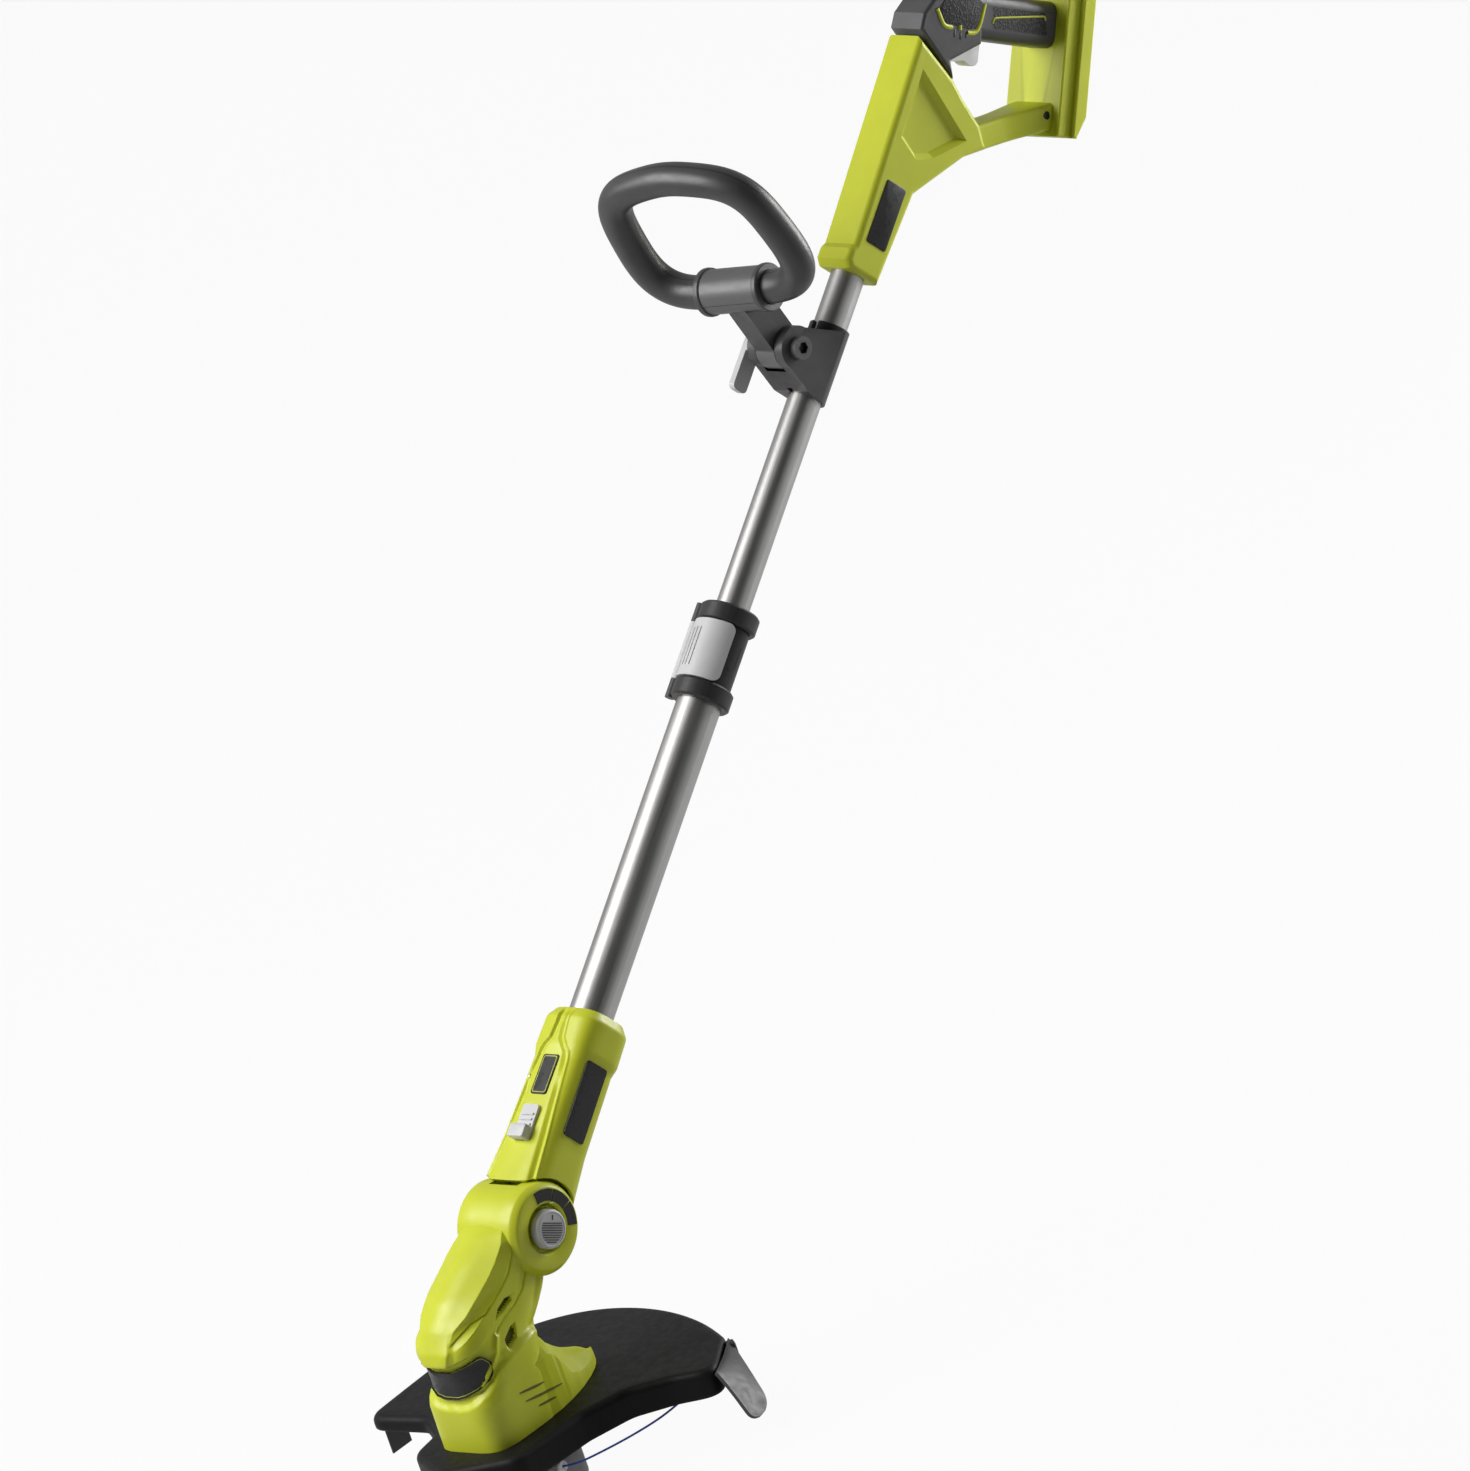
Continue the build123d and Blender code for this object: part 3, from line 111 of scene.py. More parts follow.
class TrimmerColours(bpy.types.PropertyGroup):
    """Base colours of the finishes."""

    lime: colour("Lime", "Housings, neck and rear handle", (0.60, 0.655, 0.030))
    dark: colour("Dark", "Grip shells, bracket and clamp rings", (0.026, 0.026, 0.028))
    grip: colour("Grip", "Shells of the main grip", (0.048, 0.048, 0.051))
    rubber: colour("Rubber", "Soft pads on the grip", (0.075, 0.075, 0.078))
    loop: colour("Loop", "Front handle", (0.052, 0.052, 0.055))
    guard: colour("Guard", "Debris guard", (0.009, 0.009, 0.0095))
    pale: colour("Pale", "Levers, latch and eyelet", (0.60, 0.60, 0.615))
    trigger: colour("Trigger", "Trigger", (0.80, 0.80, 0.81))
    button: colour("Button", "Pivot button", (0.60, 0.60, 0.61))
    spool: colour("Spool", "Spool housing and cap", (0.20, 0.20, 0.205))
    aluminium: colour("Aluminium", "Tubes", (0.47, 0.467, 0.463))
    steel: colour("Steel", "Screws, pins and bolts", (0.40, 0.40, 0.41))
    line: colour("Line", "Cutting line", (0.045, 0.10, 0.46))
    # Also the colour of the painted shade laid over the grip grooves, the strut's hole and the sleeve's slit.
    plate: colour("Plate", "Blank inlaid plates", (0.014, 0.014, 0.015))
    board: colour("Board", "Control board", (0.03, 0.12, 0.06))
    brass: colour("Brass", "Battery terminals", (0.62, 0.47, 0.22))


class TrimmerSizes(bpy.types.PropertyGroup):
    """Sizes of the skins and trims."""

    line_diameter: length("Line diameter", "Diameter of the cutting line", 0.0016)
    skin_wall: length("Skin wall", "Wall of the moulded skins", 0.0024)
    cowl_step: length("Cowl step", "How far the hood stands over the sides", 0.0062)
    band_drop: length("Band drop", "Fall of the bevelled band beside the hood", 0.0012)
    vent_depth: length("Vent depth", "Depth of the air vents", 0.0042)
    plate_proud: length("Plate proud", "How far blank plates stand proud", 0.0006)
    bead_radius: length("Bead radius", "Radius of the accent beads", 0.0019)
    guard_edge: length("Guard edge", "Radius of the guard's shoulder", 0.0060)


class TrimmerStudio(bpy.types.PropertyGroup):
    """Camera, lamps and floor."""

    camera_distance: length("Camera distance", "From the picture's middle to the camera", 45.0)
    picture_width: length("Picture width", "Width that the camera sees at the object", 1.0523)
    key_power: power("Key", "Power of the key lamp", 58.0)
    fill_power: power("Fill", "Power of the fill lamp", 0.9)
    rim_power: power("Rim", "Power of the rim lamp", 30.0)
    world_level: FloatProperty(name="World", description="Strength of the soft surround", default=0.10, min=0.0)
    ring_points: IntProperty(name="Ring points", description="Points round a skin's section", default=480, min=96)


def settings():
    """Colours, sizes and studio values of the scene."""
    scene = bpy.context.scene
    return scene.trimmer_colours, scene.trimmer_sizes, scene.trimmer_studio


# Node building


def put(tree, kind, sockets=None, **values):
    """Adds a node, sets its values and fills or links its inputs."""
    made = tree.nodes.new(kind)
    for key, value in values.items():
        setattr(made, key, value)
    for key, value in (sockets or {}).items():
        if isinstance(value, bpy.types.NodeSocket):
            tree.links.new(value, made.inputs[key])
        else:
            made.inputs[key].default_value = value
    return made


def blend(tree, factor, first, second):
    """Mixes two colours."""
    return put(tree, "ShaderNodeMix", {0: factor, 6: first, 7: second}, data_type="RGBA").outputs[2]


def spread(tree, value, low, high, to_low, to_high):
    """Maps a value from one range to another, clamped."""
    ends = {"From Min": low, "From Max": high, "To Min": to_low, "To Max": to_high}
    return put(tree, "ShaderNodeMapRange", {"Value": value, **ends}).outputs[0]


def noise(tree, vector, scale, detail=3.0, rough=0.55):
    """Soft noise from 0 to 1."""
    look = {"Scale": scale, "Detail": detail, "Roughness": rough}
    return put(tree, "ShaderNodeTexNoise", {"Vector": vector, **look}).outputs[0]


def maths(tree, operation, *values):
    """The result of one piece of arithmetic."""
    return put(tree, "ShaderNodeMath", dict(enumerate(values)), operation=operation).outputs[0]


def dot(tree, vector, way):
    """How far a vector goes along a direction."""
    return put(tree, "ShaderNodeVectorMath", {0: vector, 1: way}, operation="DOT_PRODUCT").outputs["Value"]


def shade(value, factor):
    """A colour made darker or lighter, with alpha."""
    return tuple(min(1.0, part * factor) for part in value) + (1.0,)


def new_finish(name):
    """An empty material with its tree and shader."""
    finish = bpy.data.materials.new(name)
    finish.use_nodes = True
    tree = finish.node_tree
    return finish, tree, tree.nodes["Principled BSDF"]


def wire(tree, shader, paint, dull, height, strength, distance):
    """Links colour, roughness and bump to a shader."""
    tree.links.new(paint, shader.inputs["Base Color"])
    tree.links.new(dull, shader.inputs["Roughness"])
    bump = put(tree, "ShaderNodeBump", {"Strength": strength, "Distance": distance, "Height": height})
    tree.links.new(bump.outputs[0], shader.inputs["Normal"])


def moulded(name, base, rough, grain, depth, mottle, edge_wear_and_highlight, hollow_shade_amount, gloss=0.38, seam=None):
    """Moulded plastic: cloudy colour, fine spark grain, convex edges lightened as worn plastic and painted highlight,
    and hollow corners darkened with painted shade.
    """
    finish, tree, shader = new_finish(name)
    place = put(tree, "ShaderNodeTexCoord").outputs["Object"]
    cloud = spread(tree, noise(tree, place, 34.0, 5.0), 0.32, 0.68, 0.0, 1.0)
    paint = blend(tree, cloud, shade(base, 1.0 - mottle), shade(base, 1.0 + mottle))
    point = put(tree, "ShaderNodeNewGeometry").outputs["Pointiness"]
    # Convex edges, found by pointiness, are lightened: partly worn plastic, partly a painted edge highlight.
    worn_and_highlit_edges = spread(tree, point, 0.52, 0.62, 0.0, edge_wear_and_highlight)
    paint = blend(tree, worn_and_highlit_edges, paint, shade([part * 0.75 + 0.22 for part in base], 1.0))
    # Hollow corners, found by pointiness, are darkened: painted shade.
    painted_hollow_shade = spread(tree, point, 0.485, 0.40, 0.0, hollow_shade_amount)
    paint = blend(tree, painted_hollow_shade, paint, shade(base, 0.35))
    if seam is not None:
        level = (Matrix.Scale(MM, 4) @ seam.inverted() @ Matrix.Scale(1.0 / MM, 4))[2]
        off = maths(tree, "ADD", dot(tree, place, tuple(level[:3])), level[3])
        groove = spread(tree, maths(tree, "ABSOLUTE", off), 0.00050, 0.00100, 0.70, 0.0)
        paint = blend(tree, groove, paint, shade(base, 0.2))
    dull = spread(tree, noise(tree, place, 160.0, 4.0), 0.3, 0.7, rough - 0.06, rough + 0.07)
    wire(tree, shader, paint, dull, noise(tree, place, grain, 2.0, 0.6), depth, 0.0003)
    shader.inputs["Specular IOR Level"].default_value = gloss
    return finish


def rubber(name, base, pitch):
    """Soft overmould with a close pattern of raised cells."""
    finish, tree, shader = new_finish(name)
    place = put(tree, "ShaderNodeTexCoord").outputs["Object"]
    cells = put(tree, "ShaderNodeTexVoronoi", {"Vector": place, "Scale": pitch}, feature="F1")
    cloud = noise(tree, place, 60.0, 4.0)
    paint = blend(tree, cloud, shade(base, 0.8), shade(base, 1.5))
    top = spread(tree, cells.outputs["Distance"], 0.15, 0.6, 1.0, 0.0)
    paint = blend(tree, top, shade(base, 0.5), paint)
    wire(tree, shader, paint, spread(tree, cloud, 0.3, 0.7, 0.62, 0.8), top, 0.6, 0.0006)
    shader.inputs["Specular IOR Level"].default_value = 0.35
    return finish


def drawn_metal(name, base, rough, stretch=1.0):
    """Drawn or plated metal with fine streaks, drawn out along the shaft by a small stretch."""
    finish, tree, shader = new_finish(name)
    place = put(tree, "ShaderNodeTexCoord").outputs["Object"]
    lean = {"Vector": place, "Angle": math.radians(LEAN), "Axis": (1.0, 0.0, 0.0)}
    turn = put(tree, "ShaderNodeVectorRotate", lean, rotation_type="AXIS_ANGLE").outputs[0]
    drawn = put(tree, "ShaderNodeMapping", {"Vector": turn, "Scale": (1.0, 1.0, stretch)}).outputs[0]
    streak = noise(tree, drawn, 900.0, 4.0, 0.65)
    paint = blend(tree, streak, shade(base, 0.86), shade(base, 1.10))
    smear = spread(tree, noise(tree, place, 45.0, 4.0), 0.35, 0.7, 0.0, 0.18)
    paint = blend(tree, smear, paint, shade(base, 0.7))
    dull = spread(tree, streak, 0.25, 0.75, rough - 0.07, rough + 0.09)
    wire(tree, shader, paint, dull, streak, 0.12, 0.0001)
    shader.inputs["Metallic"].default_value = 1.0
    return finish


# For each slot or special look: maker, finish, colour and its factor, then the maker's values.
# Plastics have roughness, grain, depth, mottle, edge lightening (worn and painted highlight), painted hollow shade,
# gloss and seam; metals roughness and stretch.
FINISHES = {
    "lime_plastic": (moulded, "lime_shell", "lime", 1.0, 0.36, 1700.0, 0.06, 0.03, 0.0, 0.5, 0.42),
    "dark_plastic": (moulded, "dark_shell", "dark", 1.0, 0.44, 1400.0, 0.15, 0.12, 0.40, 0.3),
    "pale_plastic": (moulded, "pale_lever", "pale", 1.0, 0.36, 1800.0, 0.06, 0.03, 0.1, 0.5),
    "grey_plastic": (moulded, "spool_grey", "spool", 1.0, 0.45, 1500.0, 0.12, 0.10, 0.3, 0.4),
    "grip_rubber": (rubber, "grip_overmould", "rubber", 1.0, 520.0),
    "tube_aluminium": (drawn_metal, "drawn_tube", "aluminium", 1.0, 0.40, 0.012),
    "steel": (drawn_metal, "plated_steel", "steel", 1.0, 0.34),
    "terminals": (drawn_metal, "contact_brass", "brass", 1.0, 0.3),
    "board": (moulded, "potted_board", "board", 1.0, 0.5, 600.0, 0.2, 0.2, 0.25, 0.35),
    "line": (moulded, "nylon_line", "line", 1.0, 0.32, 900.0, 0.05, 0.10, 0.0, 0.0),
    "guard": (moulded, "guard_black", "guard", 1.0, 0.46, 1100.0, 0.14, 0.12, 0.20, 0.3, 0.14),
    # The flap and its lug take the guard's black lightened 2.4 times: a painted sheen where their faces catch the
    # light.
    "flap": (moulded, "flap_black", "guard", 2.4, 0.40, 1100.0, 0.14, 0.12, 0.30, 0.3, 0.32),
    "loop": (moulded, "loop_grey", "loop", 1.0, 0.38, 1300.0, 0.14, 0.10, 0.30, 0.4, 0.5, LOOP),
    "yoke": (moulded, "yoke_grey", "loop", 1.0, 0.40, 1300.0, 0.14, 0.10, 0.30, 0.4, 0.5),
    "collar": (moulded, "collar_black", "dark", 0.55, 0.38, 1300.0, 0.12, 0.10, 0.25, 0.4, 0.34),
    # The tail takes the lime darkened to 0.9 as painted shade, with less gloss.
    "tail": (moulded, "tail_lime", "lime", 0.9, 0.46, 1500.0, 0.10, 0.04, 0.0, 0.35, 0.12),
    # Vents and flank slot strips take the lime darkened to 0.2: painted shade of their recesses.
    "vent": (moulded, "vent_shade", "lime", 0.20, 0.5, 1500.0, 0.08, 0.05, 0.0, 0.5),
    "cutter": (drawn_metal, "cutter_steel", "steel", 0.2, 0.45),
    "grip": (moulded, "grip_shell", "grip", 1.0, 0.40, 1300.0, 0.16, 0.10, 0.25, 0.4, 0.5),
    "eyelet": (moulded, "eyelet_white", "pale", 1.4, 0.30, 1800.0, 0.04, 0.02, 0.0, 0.4),
    "trigger": (moulded, "trigger_grey", "trigger", 1.0, 0.38, 1500.0, 0.08, 0.05, 0.2, 0.4),
    "button": (moulded, "button_grey", "button", 1.0, 0.34, 1500.0, 0.08, 0.05, 0.3, 0.5),
    "plate": (moulded, "blank_plate", "plate", 1.0, 0.30, 2200.0, 0.04, 0.05, 0.0, 0.0),
}


def finish_of(slot):
    """The finish for a material slot of the record or a special look, made once."""
    maker, name, key, factor, *values = FINISHES[slot]
    known = bpy.data.materials.get(name)
    return known or maker(name, shade(getattr(settings()[0], key), factor)[:3], *values)


# Mesh building


def add_piece(name, part, body, slot, looks=None, nodes=(), place=None):
    """A mesh piece from (points, faces) or (points, faces, marks) in millimetres, riding on a body.

    looks names its finishes in the order of the marks, or else the slot's own finish is used."""
    points, faces, *marks = part
    points = np.asarray(points, float).reshape(-1, 3)
    if place is not None:
        points, faces = moved((points, faces), place)
    mesh = bpy.data.meshes.new(name)
    mesh.from_pydata((points * MM).tolist(), [], [list(map(int, face)) for face in faces])
    for look in (looks or slot).split():
        mesh.materials.append(finish_of(look))
    if marks:
        mesh.polygons.foreach_set("material_index", np.asarray(marks[0], np.int32))
    work = bmesh.new()
    work.from_mesh(mesh)
    bmesh.ops.remove_doubles(work, verts=work.verts, dist=1e-6)
    bmesh.ops.recalc_face_normals(work, faces=work.faces)
    work.to_mesh(mesh)
    work.free()
    soften(mesh)
    piece = bpy.data.objects.new(name, mesh)
    bpy.context.scene.collection.objects.link(piece)
    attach(piece, body)
    if nodes:
        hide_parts(*nodes)
    return piece


def soften(mesh):
    """Smooth shading with creases kept."""
    mesh.shade_smooth()
    mesh.set_sharp_from_angle(angle=CREASE)


def thicken(piece, wall):
    """Gives a skin its wall, inwards."""
    shell = piece.modifiers.new("wall", "SOLIDIFY")
    shell.thickness = wall
    shell.offset = -1.0
    graph = bpy.context.evaluated_depsgraph_get()
    mesh = bpy.data.meshes.new_from_object(piece.evaluated_get(graph))
    piece.modifiers.clear()
    piece.data = mesh
    soften(mesh)


def strand(name, places, radius, body, slot, roundness=4, steps=12):
    """A round strand along places in metres, riding on a body."""
    curve = bpy.data.curves.new(name, "CURVE")
    curve.dimensions = "3D"
    curve.bevel_depth = radius
    curve.bevel_resolution = roundness
    curve.use_fill_caps = True
    spline = curve.splines.new("NURBS")
    spline.points.add(len(places) - 1)
    for point, place in zip(spline.points, places):
        point.co = (*place, 1.0)
    spline.order_u = 3
    spline.use_endpoint_u = True
    spline.resolution_u = steps
    piece = bpy.data.objects.new(name, curve)
    bpy.context.scene.collection.objects.link(piece)
    curve.materials.append(finish_of(slot))
    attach(piece, body)
    return piece


def grid_faces(rows, columns, closed=True, start=0):
    """Quads between the rows of a grid of points."""
    faces = []
    last = columns if closed else columns - 1
    for row in range(rows - 1):
        low = start + row * columns
        for column in range(last):
            after = (column + 1) % columns
            faces.append((low + column, low + after, low + columns + after, low + columns + column))
    return faces


def joined(*parts):
    """Several (points, faces) joined into one."""
    points, faces, shift = [], [], 0
    for some_points, some_faces in parts:
        some_points = np.asarray(some_points, float).reshape(-1, 3)
        points.append(some_points)
        faces += [tuple(index + shift for index in face) for face in some_faces]
        shift += len(some_points)
    return np.vstack(points), faces


def lathe(profile, segments=128, start=0.0, sweep=360.0):
    """A closed profile of (radius, height) turned about local Z."""
    whole = abs(sweep - 360.0) < 1e-6
    count = segments if whole else segments + 1
    turns = np.radians(start + sweep * np.arange(count) / segments)
    rows = [[(r * math.cos(t), r * math.sin(t), h) for r, h in profile] for t in turns]
    faces = []
    size = len(profile)
    for index in range(count if whole else count - 1):
        after = (index + 1) % count
        for point in range(size):
            nxt = (point + 1) % size
            faces.append((index * size + point, index * size + nxt, after * size + nxt, after * size + point))
    if not whole:
        faces.append(tuple(range(size)))
        faces.append(tuple((count - 1) * size + point for point in range(size)))
    return np.array(rows).reshape(-1, 3), faces


def moved(part, place):
    """(points, faces) moved by a matrix in millimetres."""
    turn = np.array(place)
    return part[0] @ turn[:3, :3].T + turn[:3, 3], part[1]


def rounded(corners, radius, steps=6):
    """A closed outline with its corners rounded."""
    corners = [Vector(corner) for corner in corners]
    outline = []
    for index, corner in enumerate(corners):
        before = corners[index - 1] - corner
        after = corners[(index + 1) % len(corners)] - corner
        turn = before.angle(after)
        reach = min(radius / math.tan(turn / 2.0), before.length * 0.48, after.length * 0.48)
        first = corner + before.normalized() * reach
        last = corner + after.normalized() * reach
        for step in range(steps + 1):
            t = step / steps
            outline.append(first * (1 - t) ** 2 + corner * 2 * t * (1 - t) + last * t**2)
    return np.array([tuple(point) for point in outline])


def box(x0, y0, x1, y1, radius, steps=6):
    """The outline of a rectangle with rounded corners."""
    return rounded([(x0, y0), (x1, y0), (x1, y1), (x0, y1)], radius, steps)


def even_loop(loop, count):
    """A closed loop's points at equal steps."""
    ring = np.vstack([loop, loop[:1]])
    run = np.concatenate([[0.0], np.cumsum(np.hypot(*np.diff(ring, axis=0).T))])
    stops = run[-1] * np.arange(count) / count
    return np.column_stack([np.interp(stops, run, ring[:, 0]), np.interp(stops, run, ring[:, 1])])


def headings(loop):
    """Unit directions along a closed loop."""
    ahead = np.roll(loop, -1, axis=0) - np.roll(loop, 1, axis=0)
    return ahead / np.linalg.norm(ahead, axis=1, keepdims=True)


def slab(outline, low, high, edge):
    """A plate of an outline between two heights, its upper edge rounded."""
    outline = np.asarray(outline, float)
    middle = outline.mean(axis=0)
    reach = np.abs(outline - middle).max(axis=0)
    rings = []
    for inset, height in [(0.0, low), (0.0, high - edge), (edge * 0.3, high - edge * 0.3), (edge, high)]:
        flat = middle + (outline - middle) * (1.0 - inset / reach)
        rings.append(np.column_stack([flat, np.full(len(flat), height)]))
    count = len(outline)
    faces = grid_faces(len(rings), count)
    faces.append(tuple(reversed(range(count))))
    faces.append(tuple(3 * count + index for index in range(count)))
    return np.vstack(rings), faces


def smooth(low, high, value):
    """Smooth step from 0 to 1."""
    t = np.clip((value - low) / (high - low), 0.0, 1.0)
    return t * t * (3.0 - 2.0 * t)


def trace(points, y, z):
    """Distance from side-view points to a polyline."""
    best = np.full(np.shape(y), 1e9)
    for (y0, z0), (y1, z1) in zip(points, points[1:]):
        run, rise = y1 - y0, z1 - z0
        t = np.clip(((y - y0) * run + (z - z0) * rise) / (run * run + rise * rise), 0.0, 1.0)
        best = np.minimum(best, np.hypot(y - y0 - t * run, z - z0 - t * rise))
    return best


def inside(points, y, z):
    """Signed distance into a side-view polygon, positive inside."""
    distance = trace(list(points) + [points[0]], y, z)
    odd = np.zeros(np.shape(y), bool)
    for (y0, z0), (y1, z1) in zip(points, list(points[1:]) + [points[0]]):
        crosses = (z0 > z) != (z1 > z)
        reach = (y1 - y0) * (z - z0) / ((z1 - z0) or 1e-9) + y0
        odd ^= crosses & (y < reach)
    return np.where(odd, distance, -distance)


class Skin:
    """A moulded skin: sections stacked along an axis, with a relief on it."""

    def __init__(self, table, low, high, step, power, count, soften_by=3.0, wedge=((0, 0, 20, 0),)):
        """Rows of table: height, front, back, half width; of wedge: height, set back, at width, slope beyond."""
        self.heights = np.arange(low, high + step / 2, step)
        table = np.array(table, float)
        self.count = count
        blur = max(1, int(round(soften_by / step)))
        kernel = np.hanning(2 * blur + 3)[1:-1]
        kernel /= kernel.sum()
        parts = []
        for column in (1, 2, 3):
            line = np.interp(self.heights, table[:, 0], table[:, column])
            line = np.convolve(np.pad(line, blur, mode="reflect", reflect_type="odd"), kernel, mode="valid")
            parts.append(line)
        self.front, self.back, self.half = parts
        powers = np.interp(self.heights, *np.array(power, float).T)
        wedge = np.array(wedge, float)
        bevels = np.array([np.interp(self.heights, wedge[:, 0], wedge[:, column]) for column in (1, 2, 3)]).T
        rings = [self.ring(*row) for row in zip(self.front, self.back, self.half, powers, bevels)]
        flat = np.array(rings)
        tangent = np.roll(flat, -1, axis=1) - np.roll(flat, 1, axis=1)
        tangent /= np.linalg.norm(tangent, axis=2, keepdims=True)
        self.normal = np.stack([-tangent[..., 1], tangent[..., 0]], axis=2)
        flip = np.sign((self.normal[..., 0] * flat[..., 0]).sum())
        self.normal *= flip
        self.girth = np.linalg.norm(np.roll(flat, -1, axis=1) - flat, axis=2).sum(axis=1)
        self.x, self.y = flat[..., 0].copy(), flat[..., 1].copy()
        self.z = np.repeat(self.heights[:, None], count, axis=1)

    def ring(self, front, back, half, power, bevel):
        """Points at equal steps round one section, from the back's middle over +X."""
        turn = np.linspace(0.0, 2.0 * math.pi, 2881)
        side, face = np.sin(turn), np.cos(turn)
        x = half * np.sign(side) * np.abs(side) ** (2.0 / power)
        y = (front + back) / 2.0 + (back - front) / 2.0 * np.sign(face) * np.abs(face) ** (2.0 / power)
        fall, width, slope = bevel
        wide = np.abs(x)
        part = np.minimum(wide / width, 1.0)
        bow = np.where(part < 0.5, part**2, part - 0.25) / 0.75
        y = np.maximum(y, front + fall * bow + slope * np.maximum(wide - width, 0.0))
        run = np.concatenate([[0.0], np.cumsum(np.hypot(np.diff(x), np.diff(y)))])
        stops = run[-1] * np.arange(self.count) / self.count
        return np.column_stack([np.interp(stops, run, x), np.interp(stops, run, y)])

    def press(self, relief):
        """Moves the skin out by a relief in millimetres."""
        self.x = self.x + self.normal[..., 0] * relief
        self.y = self.y + self.normal[..., 1] * relief

    def points(self):
        """All points, row by row."""
        return np.stack([self.x, self.y, self.z], axis=2)

    def at(self, share, height, proud=0.0):
        """The skin's point at a share of the way round and a height, moved out by proud."""
        pitch = self.heights[1] - self.heights[0]
        row = np.clip((np.asarray(height, float) - self.heights[0]) / pitch, 0, len(self.heights) - 1.001)
        column = (np.asarray(share, float) % 1.0) * self.count
        r0, c0 = np.floor(row).astype(int), np.floor(column).astype(int) % self.count
        r1, c1 = r0 + 1, (c0 + 1) % self.count
        fr, fc = (row - np.floor(row))[..., None], (column - np.floor(column))[..., None]
        cloud = self.points()
        flat = np.concatenate([cloud, self.normal], axis=2)
        value = (flat[r0, c0] * (1 - fr) * (1 - fc) + flat[r1, c0] * fr * (1 - fc)
                 + flat[r0, c1] * (1 - fr) * fc + flat[r1, c1] * fr * fc)
        spot = value[..., :3]
        out = np.stack([value[..., 3], value[..., 4], np.zeros(value.shape[:-1])], axis=-1)
        return spot + out * np.asarray(proud, float)[..., None]


def inlay(skin, outline, share, proud, line=(1.3, 1.75), sink=0.8):
    """A blank plate laid on a skin: (points, faces, marks). Mark 1 is its thin border line."""
    outline = np.asarray(outline, float)
    middle = outline.mean(axis=0)
    reach = np.abs(outline - middle).max(axis=0)
    rows = [(0.0, -sink, 0), (0.0, proud * 0.55, 0), (0.25, proud, 0), (line[0], proud, 0), (line[1], proud, 1)]
    rings, kinds = [], []
    for inset, rise, kind in rows:
        rings.append((middle + (outline - middle) * np.clip(1.0 - inset / reach, 0.02, 1.0), rise))
        kinds.append(kind)
    last = rings[-1][0]
    for part in (0.86, 0.72, 0.58, 0.44, 0.3, 0.16, 0.03):
        rings.append((middle + (last - middle) * part, proud))
        kinds.append(0)
    points = []
    for flat, rise in rings:
        height = flat[:, 1]
        girth = np.interp(height, skin.heights, skin.girth)
        points.append(skin.at(share - flat[:, 0] / girth, height, np.full(len(flat), rise)))
    count = len(outline)
    faces = grid_faces(len(rings), count)
    marks = [kinds[1 + index // count] for index in range(len(faces))]
    faces.append(tuple((len(rings) - 1) * count + index for index in range(count)))
    faces.append(tuple(reversed(range(count))))
    return np.vstack(points), faces, marks + [0, 0]


# Head skin

HEAD_TABLE = [
    (66, -36, 37, 35), (96, -36, 40, 35), (108, -35.5, 43, 35), (117, -34.5, 46, 35.5),
    (129, -36.5, 51, 36), (137, -39, 56, 35.5), (145, -37, 62, 34.5), (160, -28, 75, 32),
    (175, -12, 86, 30), (190, 14, 98, 29), (202, 40, 100, 27), (208, 58, 98, 23),
]
# Feature lines of the housing on the quarter view's plane: (across, up) from the pivot
HOOD_FACE = [
    (-10.5, -1.4), (-11.7, -12.9), (-16.2, -25.8), (-21.9, -38.7), (-27.6, -48.7), (-34.1, -58.7), (-36.2, -64.1),
    (-49.8, -76.6), (-50.5, -84.2), (-51.4, -101.6), (-84, -101.6), (-84, -44), (-41, 20), (-10.5, 20),
]
HOOD_EDGE = [
    (-4.2, 0.0), (-3.1, -20.0), (-5.7, -32.9), (-11.9, -45.8), (-19.0, -57.3), (-22.2, -62.6), (-32.5, -68.7),
    (-49.0, -86.3), (-50.0, -101.6), (-84, -101.6), (-84, -44), (-41, 20), (-4.2, 20),
]
VISOR = [
    (-84, -87), (-75.2, -91.6), (-69.7, -95.2), (-64.9, -99.6), (-58.0, -100.9), (-48.0, -100.5), (-39.4, -96.5),
    (-29.1, -91.3), (-22.9, -84.5), (-18.5, -75.9), (-13.6, -67.6), (-11.7, -58.7), (-7.2, -51.5), (0.7, -46.5),
    (3.7, -38.7), (4.7, -28.6), (7.9, 20), (-84, 20),
]
SKIRT = [
    (-84, -123), (-60.1, -128.6), (-54.4, -131.0), (-42.2, -133.4), (-34.4, -132.3), (-26.5, -127.4), (-19.3, -120.3),
    (-13.6, -112.0), (-10.0, -103.1), (-3.6, -94.5), (5.0, -84.5), (13.6, -74.4), (74, -67), (74, -188), (-84, -188),
]
SIDE_SEAM = [(12.0, -26.0), (10.0, -33.6), (7.9, -44.4), (2.1, -55.8), (-3.6, -63.0), (-9.3, -71.6), (-11.5, -77.3)]
UPPER_VENT = [(-7.2, -52.3), (-1.3, -48.7), (0.3, -51.8), (-6.4, -60.8), (-11.9, -67.3), (-12.5, -61.8)]
LOWER_VENT = [(2.1, -67.6), (3.1, -78.5), (-3.3, -87.3), (-5.6, -80.5), (-1.4, -71.6)]
LOWER_RIDGE = [(-11.5, -77.6), (-12.2, -84.5), (-12.6, -90.9), (-17.6, -100.2), (-20.8, -107.4)]
FLANK_RIDGE = [(-4.3, -88.0), (-7.9, -92.1), (-13.6, -96.6), (-18.6, -105.9), (-23.6, -115.2)]
SKIRT_CORNER = [(-33.4, -132.0), (-30.5, -161.8)]
